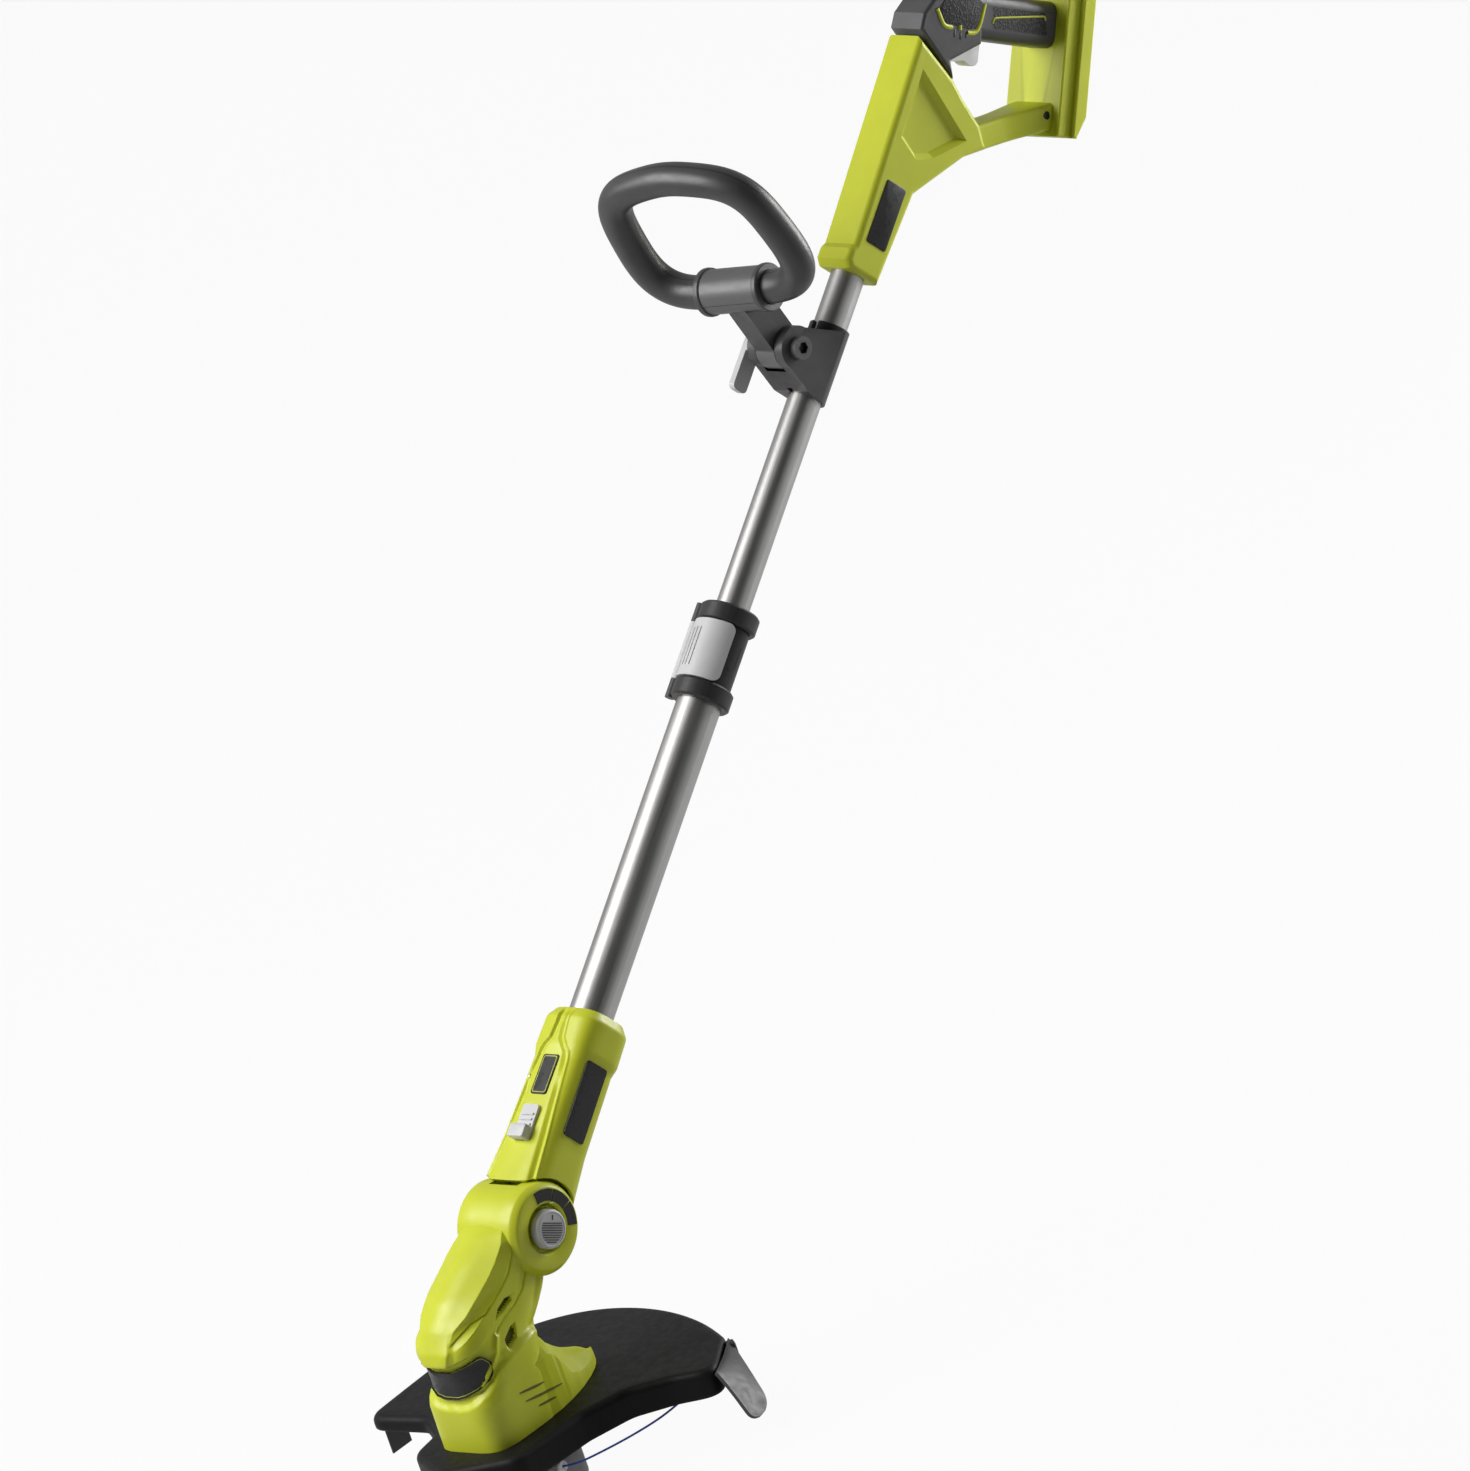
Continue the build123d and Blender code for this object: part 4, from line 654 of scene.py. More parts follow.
HOOD_WEDGE = [
    (66, 0, 20, 0), (140, 0, 20, 0), (150, 1.5, 16, 0.4), (158, 3.0, 17, 1.2), (165, 7.5, 23, 2.7),
    (169, 9.5, 24.5, 4.0), (175, 13.0, 26, 6.0), (181, 14.6, 26.4, 6.5), (188, 14.6, 26.2, 6.5),
    (196, 10.5, 24.4, 6.5), (203, 5.0, 19.5, 6.5), (208, 4.0, 17, 6.5),
]
GRILLE_SLOTS = [((-1, 97.0), (25, 92.5)), ((2, 89.0), (42, 82.0)), ((12, 80.0), (31, 77.0))]
NOSE_HALF = [
    (9.4, 129.6), (25.5, 133.6), (38.2, 136.4), (41.6, 135.6), (44.8, 129.2), (42.5, 121.0), (38.0, 117.0),
    (27.1, 112.6), (15.6, 109.4), (7.0, 107.6),
]
TAIL_ALONG = [12, 22, 32, 48, 64, 80, 92, 99, 104]
TAIL_HALF = [33.4, 34.0, 33.6, 30.5, 25.5, 18.5, 11.5, 6.0, 1.2]


def sketch(x, y, z):
    """Places of points on the quarter view's plane, the same on both sides."""
    offset = np.abs(x), y - PIVOT_Y, z - PIVOT_Z
    return [sum(part * way for part, way in zip(offset, axis)) for axis in (QUARTER_RIGHT, QUARTER_UP)]


def groove(distance, width):
    """A bell across a line, 1 on it, for grooves and ridges."""
    return np.exp(-((distance / width) ** 2))


def head_skin():
    """The motor housing's skin with its hood, visor, bands, vents and skirt."""
    sizes, studio = settings()[1:]
    powers = [(66, 4.2), (100, 4.0), (110, 2.9), (132, 2.5), (142, 3.4), (150, 4.0), (208, 4.0)]
    skin = Skin(HEAD_TABLE, 66.0, 208.0, 0.7, powers, studio.ring_points, wedge=HOOD_WEDGE)
    x, y, z = np.abs(skin.x), skin.y, skin.z
    u, v = sketch(skin.x, skin.y, skin.z)
    step, drop = sizes.cowl_step / MM, sizes.band_drop / MM
    face, edge, visor, skirt = (inside(line, u, v) for line in (HOOD_FACE, HOOD_EDGE, VISOR, SKIRT))
    side = smooth(19.0, 24.0, x)
    front = smooth(-46.0, -52.0, u)
    fall = 1.0 - np.clip(edge / np.maximum(edge - face, 0.5), 0.0, 1.0)
    layer = -(drop + 1.6) * (1.0 - 0.75 * front)
    wall = np.interp(z, [66, 100, 112, 135, 150, 210], [-3.0, -3.4, -4.0, -4.4, -step, -step])

    def lay(relief, height, share):
        return relief + (height - relief) * share

    relief = lay(wall, layer, smooth(-0.5, 0.5, visor))
    relief = lay(relief, -drop * fall, smooth(-0.3, 0.4, edge))
    relief = lay(relief, 0.0, smooth(-5.5, 0.0, skirt))
    relief -= 1.8 * groove(edge + 0.8, 0.7) * smooth(-68.0, -60.0, v)
    relief -= 0.9 * groove(visor + 0.5, 0.5) * smooth(-82.0, -72.0, v)
    relief -= 1.0 * groove(trace(SIDE_SEAM, u, v), 0.55) * side
    for ridge, height, width in ((LOWER_RIDGE, 1.5, 1.5), (FLANK_RIDGE, 1.2, 1.8), (SKIRT_CORNER, 0.5, 1.2)):
        relief += height * groove(trace(ridge, u, v), width) * side
    hole = np.maximum(inside(UPPER_VENT, u, v), inside(LOWER_VENT, u, v))
    relief -= sizes.vent_depth / MM * smooth(-0.2, 0.8, hole) * side
    relief *= smooth(0.0, 15.0, skin.back[:, None] - y)
    skin.plain = (skin.x.copy(), skin.y.copy())
    skin.press(relief)
    # Faces deep in a vent are marked for the vent finish: painted shade in the recess.
    skin.dark = (hole > 0.25) & (x > 20.0)
    return skin


def raw_mesh(points, faces):
    """A bmesh of points in millimetres and faces."""
    work = bmesh.new()
    verts = [work.verts.new(point) for point in points]
    for face in faces:
        work.faces.new([verts[index] for index in face])
    return work


def split_skin(skin, cuts):
    """The head skin's mesh cut by planes, its vents marked for painted shade: a bmesh in millimetres."""
    faces = grid_faces(*skin.x.shape)
    work = raw_mesh(skin.points().reshape(-1, 3), faces)
    # Faces deep in the vents take material 1, the vent finish's painted shade.
    dark = skin.dark.reshape(-1)
    for made, face in zip(work.faces, faces):
        made.material_index = int(sum(dark[index] for index in face) >= 3)
    for spot, way in cuts:
        everything = work.verts[:] + work.edges[:] + work.faces[:]
        bmesh.ops.bisect_plane(work, geom=everything, dist=1e-5, plane_co=spot, plane_no=way)
    return work


def faces_where(work, test):
    """(points, faces, marks) of the faces whose middle passes a test."""
    index, points, faces, marks = {}, [], [], []
    for face in work.faces:
        if not test(face.calc_center_median()):
            continue
        row = []
        for vert in face.verts:
            if vert not in index:
                index[vert] = len(points)
                points.append(tuple(vert.co))
            row.append(index[vert])
        faces.append(row)
        marks.append(face.material_index)
    return points, faces, marks


class TRIMMER_OT_stage(bpy.types.Operator):
    """Makes the camera, the lamps, the surround and the floor."""

    bl_idname = "trimmer.stage"
    bl_label = "Stage"

    def execute(self, context):
        scene = context.scene
        scene.view_settings.view_transform = "Standard"
        right, up, back = Vector(QUARTER_RIGHT), Vector(QUARTER_UP), Vector(QUARTER_OUT)
        self.camera(scene, right, up, back)
        self.lamps(scene, right, up, back)
        self.surround(scene, (back * 0.9 + right * 0.35).normalized())
        self.floor(scene)
        return {"FINISHED"}

    def camera(self, scene, right, up, back):
        """A far camera on the quarter view, with the photograph's frame."""
        studio = settings()[2]
        beside, above = 0.15605, 0.3507
        middle = Vector((0.0, PIVOT_Y * MM, PIVOT_Z * MM)) + right * beside + up * above
        spot = middle + back * studio.camera_distance
        camera = bpy.data.objects.new("camera", bpy.data.cameras.new("camera"))
        scene.collection.objects.link(camera)
        rows = [[right[i], up[i], back[i], spot[i]] for i in range(3)]
        camera.matrix_world = Matrix(rows + [[0, 0, 0, 1]])
        camera.data.sensor_width = 36.0
        camera.data.lens = camera.data.sensor_width * studio.camera_distance / studio.picture_width
        camera.data.clip_end = 200.0
        scene.camera = camera

    def lamps(self, scene, right, up, back):
        """A soft key from the left, a small fill at the handle and a rim from behind."""
        studio = settings()[2]
        white, whole, handle = (1.0, 1.0, 1.0), (0.02, 0.40, 0.40), (0.0, 0.74, 0.70)
        warm = (1.0, 0.99, 0.97)
        key, fill, rim = (
            right * -1.10 + up * 0.34 + back * 0.36,
            right * 0.80 + up * 0.20 + back * 0.55,
            right * 0.90 + up * 0.60 - back * 0.42,
        )
        for name, way, distance, size, watts, tint, aim in (
            ("key", key, 2.2, (1.5, 1.5), studio.key_power, warm, whole),
            ("fill", fill, 1.0, (0.8, 0.8), studio.fill_power, white, handle),
            ("rim", rim, 2.0, (0.8, 1.1), studio.rim_power, white, whole),
        ):
            light = bpy.data.lights.new(name, "AREA")
            light.shape = "RECTANGLE"
            light.size, light.size_y = size
            light.energy = watts
            light.color = tint
            holder = bpy.data.objects.new(name, light)
            holder.location = Vector(aim) + way.normalized() * distance
            holder.rotation_mode = "QUATERNION"
            holder.rotation_quaternion = way.to_track_quat("Z", "Y")
            scene.collection.objects.link(holder)

    def surround(self, scene, dim):
        """A white backdrop, a weak surround for light and a card that is dark on one side for reflections."""
        world = bpy.data.worlds.new("surround")
        scene.world = world
        world.use_nodes = True
        tree = world.node_tree
        ground = tree.nodes["Background"]
        ground.inputs["Color"].default_value = (1.0, 1.0, 1.0, 1.0)
        ray = put(tree, "ShaderNodeLightPath").outputs
        clear = maths(tree, "MAXIMUM", ray["Is Camera Ray"], ray["Is Transmission Ray"])
        way = put(tree, "ShaderNodeTexCoord").outputs["Generated"]
        card = spread(tree, dot(tree, way, dim), 0.0, 0.7, 0.42, 0.03)
        level = {0: ray["Is Glossy Ray"], 2: settings()[2].world_level, 3: card}
        shine = put(tree, "ShaderNodeMix", level).outputs[0]
        tree.links.new(maths(tree, "MAXIMUM", clear, shine), ground.inputs["Strength"])

    def floor(self, scene):
        """A pale floor that keeps the shadow, nearly clear to the camera so that low parts still show."""
        mesh = bpy.data.meshes.new("floor")
        work = bmesh.new()
        bmesh.ops.create_grid(work, x_segments=8, y_segments=8, size=9.0)
        work.to_mesh(mesh)
        work.free()
        floor = bpy.data.objects.new("floor", mesh)
        floor.location = (0.0, 2.0, -0.0004)
        scene.collection.objects.link(floor)
        finish, tree, shader = new_finish("studio_floor")
        shader.inputs["Base Color"].default_value = (0.50, 0.50, 0.50, 1.0)
        shader.inputs["Roughness"].default_value = 0.9
        shader.inputs["Specular IOR Level"].default_value = 0.1
        white, glow_share, clear_share = (1.0, 1.0, 1.0, 1.0), 0.28, 0.95
        glow = put(tree, "ShaderNodeEmission", {"Color": white, "Strength": 1.0}).outputs[0]
        clear = put(tree, "ShaderNodeBsdfTransparent", {"Color": white}).outputs[0]
        ray = put(tree, "ShaderNodeLightPath").outputs
        shiny = maths(tree, "MULTIPLY", ray["Is Glossy Ray"], glow_share)
        seen = maths(tree, "MULTIPLY_ADD", ray["Is Camera Ray"], clear_share, ray["Is Shadow Ray"])
        lit = put(tree, "ShaderNodeMixShader", {0: shiny, 1: shader.outputs[0], 2: glow}).outputs[0]
        both = put(tree, "ShaderNodeMixShader", {0: seen, 1: lit, 2: clear}).outputs[0]
        tree.links.new(both, tree.nodes["Material Output"].inputs["Surface"])
        mesh.materials.append(finish)


class TRIMMER_OT_cutting_line(bpy.types.Operator):
    """Lays the free cutting line as one smooth curve."""

    bl_idname = "trimmer.cutting_line"
    bl_label = "Cutting line"

    def execute(self, context):
        sizes = settings()[1]
        line = strand("cutting_line_strand", LINE_POINTS, sizes.line_diameter / 2.0, "spool", "line", 5, 16)
        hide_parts("cutting_line")
        return {"FINISHED"}


class TRIMMER_OT_finishes(bpy.types.Operator):
    """Gives every frame piece its finish."""

    bl_idname = "trimmer.finishes"
    bl_label = "Finishes"

    special = {
        "loop_half_upper": "loop", "loop_half_lower": "loop", "handle_yoke": "yoke", "yoke_cap": "yoke",
        "guard": "guard", "trigger": "trigger", "pivot_button": "button", "bracket_bolt": "dark_plastic",
        "grip_shell_left": "grip", "grip_shell_right": "grip", "line_eyelet": "eyelet", "line_cutter": "cutter",
        "clamp_collar": "collar", "tube_bracket": "collar",
    }

    def execute(self, context):
        for part in frame["record"]["subparts"]:
            node = frame["nodes"][part["node"]]
            finish = finish_of(self.special.get(part["node"], part["material_slot"]))
            if not node.material_slots:
                raise RuntimeError("no material slot on " + part["node"])
            for slot in node.material_slots:
                slot.link = "OBJECT"
                slot.material = finish
        return {"FINISHED"}


class TRIMMER_OT_head(bpy.types.Operator):
    """Builds the motor housing's skin, its drum, its tail and its blank nose plate."""

    bl_idname = "trimmer.head"
    bl_label = "Motor housing"

    def execute(self, context):
        sizes = settings()[1]
        skin = head_skin()
        cowl_back, cowl_top = 8.0, 168.0
        work = split_skin(skin, [((0, cowl_back, 0), (0, 1, 0)), ((0, 0, cowl_top), (0, 0, 1))])

        def is_cowl(spot):
            return spot.y < cowl_back and spot.z < cowl_top

        groups = [
            ("housing_cowl", is_cowl, "front_cowl"),
            ("housing_left", lambda spot: spot.x > 0 and not is_cowl(spot), "motor_shell_left"),
            ("housing_right", lambda spot: spot.x < 0 and not is_cowl(spot), "motor_shell_right"),
        ]
        for name, test, node in groups:
            points, faces, marks = faces_where(work, test)
            part = self.clear_bore(np.array(points, dtype=float)), faces, marks
            thicken(add_piece(name, part, "head", "lime_plastic", "lime_plastic vent", [node]), sizes.skin_wall)
        work.free()
        self.drum()
        self.tail(skin)
        outline = rounded(NOSE_HALF + [(-s, z) for s, z in reversed(NOSE_HALF)], 2.5, 4)
        skin.x, skin.y = skin.plain
        part = inlay(skin, outline, 0.5, sizes.plate_proud / MM - 3.6, sink=6.0)
        add_piece("nose_plate", part, "head", "dark_plastic", "plate lime_plastic")
        return {"FINISHED"}

    def clear_bore(self, points):
        """Keeps the skin below the pivot button's travel."""
        bore, depth = 19.0, 23.0
        near = np.hypot(points[:, 1] - PIVOT_Y, points[:, 2] - PIVOT_Z) < bore
        points[near, 0] = np.clip(points[near, 0], -depth, depth)
        return points

    def drum(self):
        """Pivot drum: two bevelled discs and the barrel between them."""
        disc = [(20, 14.6), (34, 14.6), (34, 25.6), (33.5, 26.9), (31.0, 30.0), (30.2, 30.7), (29.2, 31),
                (19.2, 31), (18.4, 30.4), (18.0, 29.4), (17.6, 25.0), (15.4, 25.0), (15.2, 23.4), (8, 23.4), (8, 20)]
        barrel = [(24, -14.7), (24, 14.7), (34, 14.7), (34, -14.7)]
        half_gap = 51.0
        gapped = lathe(barrel, 96, 180.0 - LEAN + half_gap, 360.0 - 2.0 * half_gap)
        for name, part, turn in (
            ("drum_left", lathe(disc, 160), ASIDE),
            ("drum_right", lathe(disc, 160), MIRROR @ ASIDE),
            ("drum_barrel", gapped, ASIDE),
        ):
            add_piece(name, moved(part, PIVOT @ turn), "head", "lime_plastic")

    def tail(self, skin):
        """Tongue behind the housing that sweeps down to the guard, with dark strips of painted slot shade on both
        flanks.
        """
        rows, columns = 100, 81
        along = np.linspace(12.0, 104.0, rows)
        across = np.linspace(-1.0, 1.0, columns)
        half = self.tail_half(along)
        crest = np.minimum(72.0 + 46.0 * np.exp(-(along - 50.0) / 30.0), 122.0) - 4.5 * smooth(90.0, 104.0, along)
        rims = np.interp(along, [12, 38, 44, 57, 70, 90, 104], [108, 108, 104, 80, 74, 71.5, 69.5])
        top, low = [], []
        for y, w, c, rim in zip(along, half, crest, rims):
            fall = np.abs(across) ** 2.6
            lip = 1.8 * np.exp(-(((1.0 - np.abs(across)) * w / 2.0) ** 2)) * smooth(40.0, 58.0, y)
            top.append(np.column_stack([across * w, np.full(columns, y), c - (c - rim) * fall + lip]))
            low.append(np.column_stack([across * w, np.full(columns, y), np.full(columns, 66.2)]))
        shift = rows * columns
        faces = grid_faces(rows, columns, closed=False)
        faces += [tuple(reversed(face)) for face in grid_faces(rows, columns, closed=False, start=shift)]
        for side in (0, columns - 1):
            border = [row * columns + side for row in range(rows)]
            faces += [(a, b, shift + b, shift + a) for a, b in zip(border, border[1:])]
        for end in (0, shift - columns):
            faces += [(a, a + 1, shift + a + 1, shift + a) for a in range(end, end + columns - 1)]
        add_piece("tail_scoop", (np.vstack(top + low), faces), "head", "lime_plastic", "tail")
        for side, where in ((1.0, "left"), (-1.0, "right")):
            # Dark strips laid over the flank's air slot openings: painted shade.
            slot_shades = [self.slot_shade_strip(skin, side, *ends) for ends in GRILLE_SLOTS]
            add_piece("flank_slots_" + where, joined(*slot_shades), "head", "dark_plastic", "vent")

    def tail_half(self, along):
        """Half width of the tail along the housing."""
        return np.interp(along, TAIL_ALONG, TAIL_HALF)

    def slot_shade_strip(self, skin, side, start, end):
        """A thin dark strip of painted shade where an air slot runs along one flank, from one (along, height) to
        another.
        """
        count, look = 40, 300
        along = np.linspace(start[0], end[0], count)
        height = np.interp(along, [start[0], end[0]], [start[1], end[1]])
        share = np.linspace(0.02, 0.48, look)
        reach = []
        for y, z in zip(along, height):
            ring = skin.at(share, np.full(look, z))
            tail = float(self.tail_half(y)) if y > TAIL_ALONG[0] else 0.0
            reach.append(max(np.interp(-y, -ring[:, 1], ring[:, 0]), tail))
        reach = np.array(reach)
        size = 1.0 * np.sqrt(np.sin(np.linspace(0.02, 0.98, count) * math.pi)) + 0.1
        rows = [np.column_stack([side * (reach + out), along, height + size * rise])
                for out, rise in ((-1.0, -1.0), (0.3, -0.9), (0.3, 0.9), (-1.0, 1.0))]
        last = 4 * (count - 1)
        ends = [(0, 1, 2, 3), (last, last + 1, last + 2, last + 3)]
        return np.stack(rows, axis=1).reshape(-1, 3), grid_faces(count, 4) + ends


NECK_TABLE = [
    (10, -27.3, 27.3, 30.3), (14, -27, 27, 30), (62, -23.6, 23.6, 26.6), (125, -22.6, 22.6, 25.6),
    (133, -24.5, 24.5, 27.5), (156, -24.5, 24.5, 27.5), (163, -20.4, 20.4, 23.4),
]
NECK_RIDGE = [(10, 27), (30, 25), (62, 21.5), (120, 16.5), (128, 15), (138, 7.6), (150, 6), (163, 6)]
NECK_TOP = 163.0


class TRIMMER_OT_neck(bpy.types.Operator):
    """Builds the neck's skin with its ridges, its tongue, its blank plates and the latch's tab."""

    bl_idname = "trimmer.neck"
    bl_label = "Neck"

    def execute(self, context):
        sizes, studio = settings()[1:]
        powers = [(10, 4.0), (120, 4.0), (163, 3.2)]
        skin = Skin(NECK_TABLE, 10.0, NECK_TOP, 0.9, powers, studio.ring_points, 2.0)
        self.ridges(skin)
        work = self.shell(skin)
        for side, name, node in ((1, "neck_left", "neck_shell_left"), (-1, "neck_right", "neck_shell_right")):
            part = faces_where(work, lambda spot: spot.x * side > 0)
            thicken(add_piece(name, part, "neck", "lime_plastic", None, [node], SHAFT), sizes.skin_wall)
        work.free()
        hub = lathe([(5.4, -13.8), (21.2, -13.8), (22, -13.0), (22, 13.0), (21.2, 13.8), (5.4, 13.8)], 96)
        web = slab([(-8.5, 5.0), (8.5, 5.0), (8.5, 40.0), (-8.5, 40.0)], -13.6, 13.6, 0.8)
        tongue = joined(moved(hub, ASIDE), moved(web, UPRIGHT))
        add_piece("neck_tongue", tongue, "neck", "lime_plastic", place=SHAFT)
        proud = sizes.plate_proud / MM
        front = inlay(skin, box(-8, 93.8, 8, 125, 2.4), 0.5, proud + 0.3)
        add_piece("neck_front_plate", front, "neck", "dark_plastic", "plate lime_plastic", place=SHAFT)
        flank = box(-10.5, 69, 10.5, 127, 2.6)
        for share, name in ((0.257, "neck_left_plate"), (0.743, "neck_right_plate")):
            part = inlay(skin, flank, share, proud + 0.4)
            add_piece(name, part, "neck", "dark_plastic", "plate plate", place=SHAFT)
        tab = moved(slab(box(-8.2, 57.0, 8.2, 67.5, 2.0), 24.0, 32.5, 1.4), FORWARD)
        add_piece("latch_tab", tab, "edge_latch", "pale_plastic", place=SHAFT)
        return {"FINISHED"}

    def ridges(self, skin):
        """Raises a bead with a cove beside it down both front edges."""
        count = skin.count
        quarter, front, index = count // 4, count // 2, np.arange(count)
        relief = np.zeros(skin.x.shape)
        for row, height in enumerate(skin.heights):
            spot = np.interp(height, *np.array(NECK_RIDGE, float).T)
            mark = np.interp(-spot, -skin.x[row, quarter:front + 1], np.arange(quarter, front + 1))
            pitch = skin.girth[row] / count
            deep = -1.6 * (1.0 - 0.7 * groove(height - 108.0, 7.0))
            for run in (index - mark, (count - index) - mark):
                gone = run * pitch
                cove = deep * smooth(0.0, 2.0, gone) * smooth(7.0, 2.6, gone)
                relief[row] += np.where(np.abs(gone) < 16.0, cove + 0.7 * groove(gone, 1.1), 0.0)
        skin.press(relief * smooth(NECK_TOP, 157.0, skin.z))

    def shell(self, skin):
        """The neck's wall, cut round at its foot to clear the drum and turned in at its top: a bmesh."""
        count = skin.count
        share = np.arange(count) / count
        foot = skin.at(share, np.full(count, 24.0))[:, 1]
        bottom = np.sqrt(np.maximum(36.5**2 - foot**2, 200.0))
        bottom = np.where(np.abs(foot) < 31, bottom, 14.0)
        rows = []
        for part in np.linspace(0.0, 1.0, 150):
            height = bottom + (NECK_TOP - bottom) * part
            rows.append(skin.at(share, height))
            rows[-1][:, 2] = height
        turn = np.arctan2(rows[-1][:, 1], rows[-1][:, 0])
        for radius, height in ((17.6, NECK_TOP), (17.2, 162.4), (17.2, 140.0)):
            rows.append(np.column_stack([radius * np.cos(turn), radius * np.sin(turn), np.full(count, height)]))
        return raw_mesh(np.vstack(rows), grid_faces(len(rows), count))


GUARD_POINTS = [
    (-52, -42), (0, -68), (54, -40), (57, 28), (68, 64), (93, 86), (124, 103), (86, 154), (46, 174),
    (0, 186), (-44, 188), (-84, 178), (-114, 154), (-152, 88), (-146, 4), (-84, 6), (-58, -12),
]
GUARD_WALL = 3.6
BORE_TURNS = np.radians(np.arange(48) * 7.5)
GUARD_BORE = np.column_stack([13.5 * np.cos(BORE_TURNS), 13.5 * np.sin(BORE_TURNS)])


class TRIMMER_OT_guard(bpy.types.Operator):
    """Builds the debris guard: a soft dome, a rolled shoulder, a wall and a curved flap."""

    bl_idname = "trimmer.guard"
    bl_label = "Debris guard"

    def execute(self, context):
        edge = settings()[1].guard_edge / MM
        outline = self.outline()
        ahead = headings(outline)
        inward = np.column_stack([-ahead[:, 1], ahead[:, 0]])
        low = np.interp(outline[:, 0], [-84, -64], [54.0, 43.5])
        inner = outline + inward * edge
        top = self.top(*inner.T)
        rows = [(edge, top)]
        for turn in np.radians([18, 36, 54, 72, 88]):
            rows.append((edge - edge * math.sin(turn), top - edge * (1.0 - math.cos(turn))))
        rows += [(0.0, low + 3.0), (0.0, low + 1.0), (0.5, low + 0.2), (1.5, low), (2.5, low + 0.2), (3.0, low + 1.0)]
        rows += [(3.0, top - edge), (edge * 0.6, top - GUARD_WALL - 1.0), (edge, top - GUARD_WALL)]
        rim = np.vstack([np.column_stack([outline + inward * gone, height]) for gone, height in rows])
        crown = self.top(*GUARD_BORE.T)
        wall = np.vstack([np.column_stack([GUARD_BORE, height]) for height in (crown, crown - GUARD_WALL)])
        part = joined(
            (rim, grid_faces(len(rows), len(outline))),
            self.sheet(inner, 0.0),
            self.sheet(inner, GUARD_WALL),
            (wall, grid_faces(2, len(GUARD_BORE))),
        )
        guard = add_piece("guard_dome", part, "head", "dark_plastic", "guard", ["guard"])
        gaps = self.open_edges(guard)
        if gaps:
            raise RuntimeError("the guard isn't closed: %d open edges" % gaps)
        self.flap()
        return {"FINISHED"}

    def open_edges(self, piece):
        """How many edges don't have two faces."""
        work = bmesh.new()
        work.from_mesh(piece.data)
        number = sum(len(edge.link_faces) != 2 for edge in work.edges)
        work.free()
        return number

    def outline(self):
        """The guard's plan as an evenly spaced loop, smoothed most along its back edge."""
        loop = even_loop(rounded(GUARD_POINTS, 16.0, 12), 420)
        for turn in range(200):
            share = 0.5 * smooth(95.0, 130.0, loop[:, 1]) * smooth(-84.0, -54.0, -loop[:, 0])
            share = np.maximum(share, 0.5 if turn < 3 else 0.0)[:, None]
            loop = loop * (1.0 - share) + (np.roll(loop, 1, axis=0) + np.roll(loop, -1, axis=0)) * 0.5 * share
        return loop

    def top(self, x, y):
        """Height of the guard's upper face."""
        away = np.hypot(np.asarray(x) + 6.0, np.asarray(y) - 26.0)
        return 66.0 - 2.2 * np.clip((away - 60.0) / 110.0, 0.0, 1.0) ** 1.5

    def sheet(self, loop, below):
        """The upper or lower face inside a loop, with a hole for the motor's bearing."""
        grid = np.array([(x, y) for x in np.arange(-150, 130, 6.0) for y in np.arange(-66, 190, 6.0)])
        clear = (inside(loop.tolist(), grid[:, 0], grid[:, 1]) > 3.0) & (np.hypot(*grid.T) > 17.0)
        flat = np.vstack([loop, GUARD_BORE, grid[clear]])
        size, hole = len(loop), len(GUARD_BORE)
        bounds = [(index, (index + 1) % size) for index in range(size)]
        bounds += [(size + index, size + (index + 1) % hole) for index in range(hole)]
        verts, _, faces, *_ = delaunay_2d_cdt([Vector(point) for point in flat], bounds, [], 1, 1e-6)
        verts = np.array([tuple(vert) for vert in verts])
        faces = [tuple(face) for face in faces if np.hypot(*verts[list(face)].T).max() > 13.6]
        return np.column_stack([verts, self.top(verts[:, 0], verts[:, 1]) - below]), faces

    def flap(self):
        """Curved flap that hangs from the guard's left end, with a lug at its root."""
        length_rows, width_rows, flap_wall = 40, 25, 0.0028
        across = np.linspace(-1.0, 1.0, width_rows)
        root, tip = np.array([(90.0, 153.0), (122.5, 105.0)]), np.array([(139.5, 129.0), (148.0, 103.0)])
        rows = []
        for t in np.linspace(0.0, 1.0, length_rows):
            start, end = root + (tip - root) * t**0.92
            taper = math.sqrt(max(1.0 - max((t - 0.80) / 0.205, 0.0) ** 2.4, 0.0))
            spot = (start + end) / 2.0 + np.outer(across * taper, (end - start) / 2.0)
            spot += np.outer(2.2 * (1.0 - across**2) * math.sin(math.pi * min(t + 0.2, 1.0)), (0.8, 0.6))
            rows.append(np.column_stack([spot, np.full(width_rows, 62.0 - 38.5 * t**1.12)]))
        part = np.vstack(rows), grid_faces(length_rows, width_rows, closed=False)
        thicken(add_piece("guard_flap", part, "head", "dark_plastic", "flap"), flap_wall)
        lug = slab(rounded([(88, 150), (97, 144), (101, 149), (92, 155)], 2.5), 48.0, 61.0, 1.6)
        add_piece("guard_lug", lug, "head", "dark_plastic", "flap")


BUTTON_PROFILE = [
    (0.0, 29.3), (14.4, 29.3), (14.4, 34.4), (14.1, 35.4), (13.2, 36.2), (12.2, 36.4), (11.8, 36.0), (0.0, 36.0),
]
SCALE_CELLS = ((-21.0, 14.6), (17.0, 52.8), (55.2, 92.0))


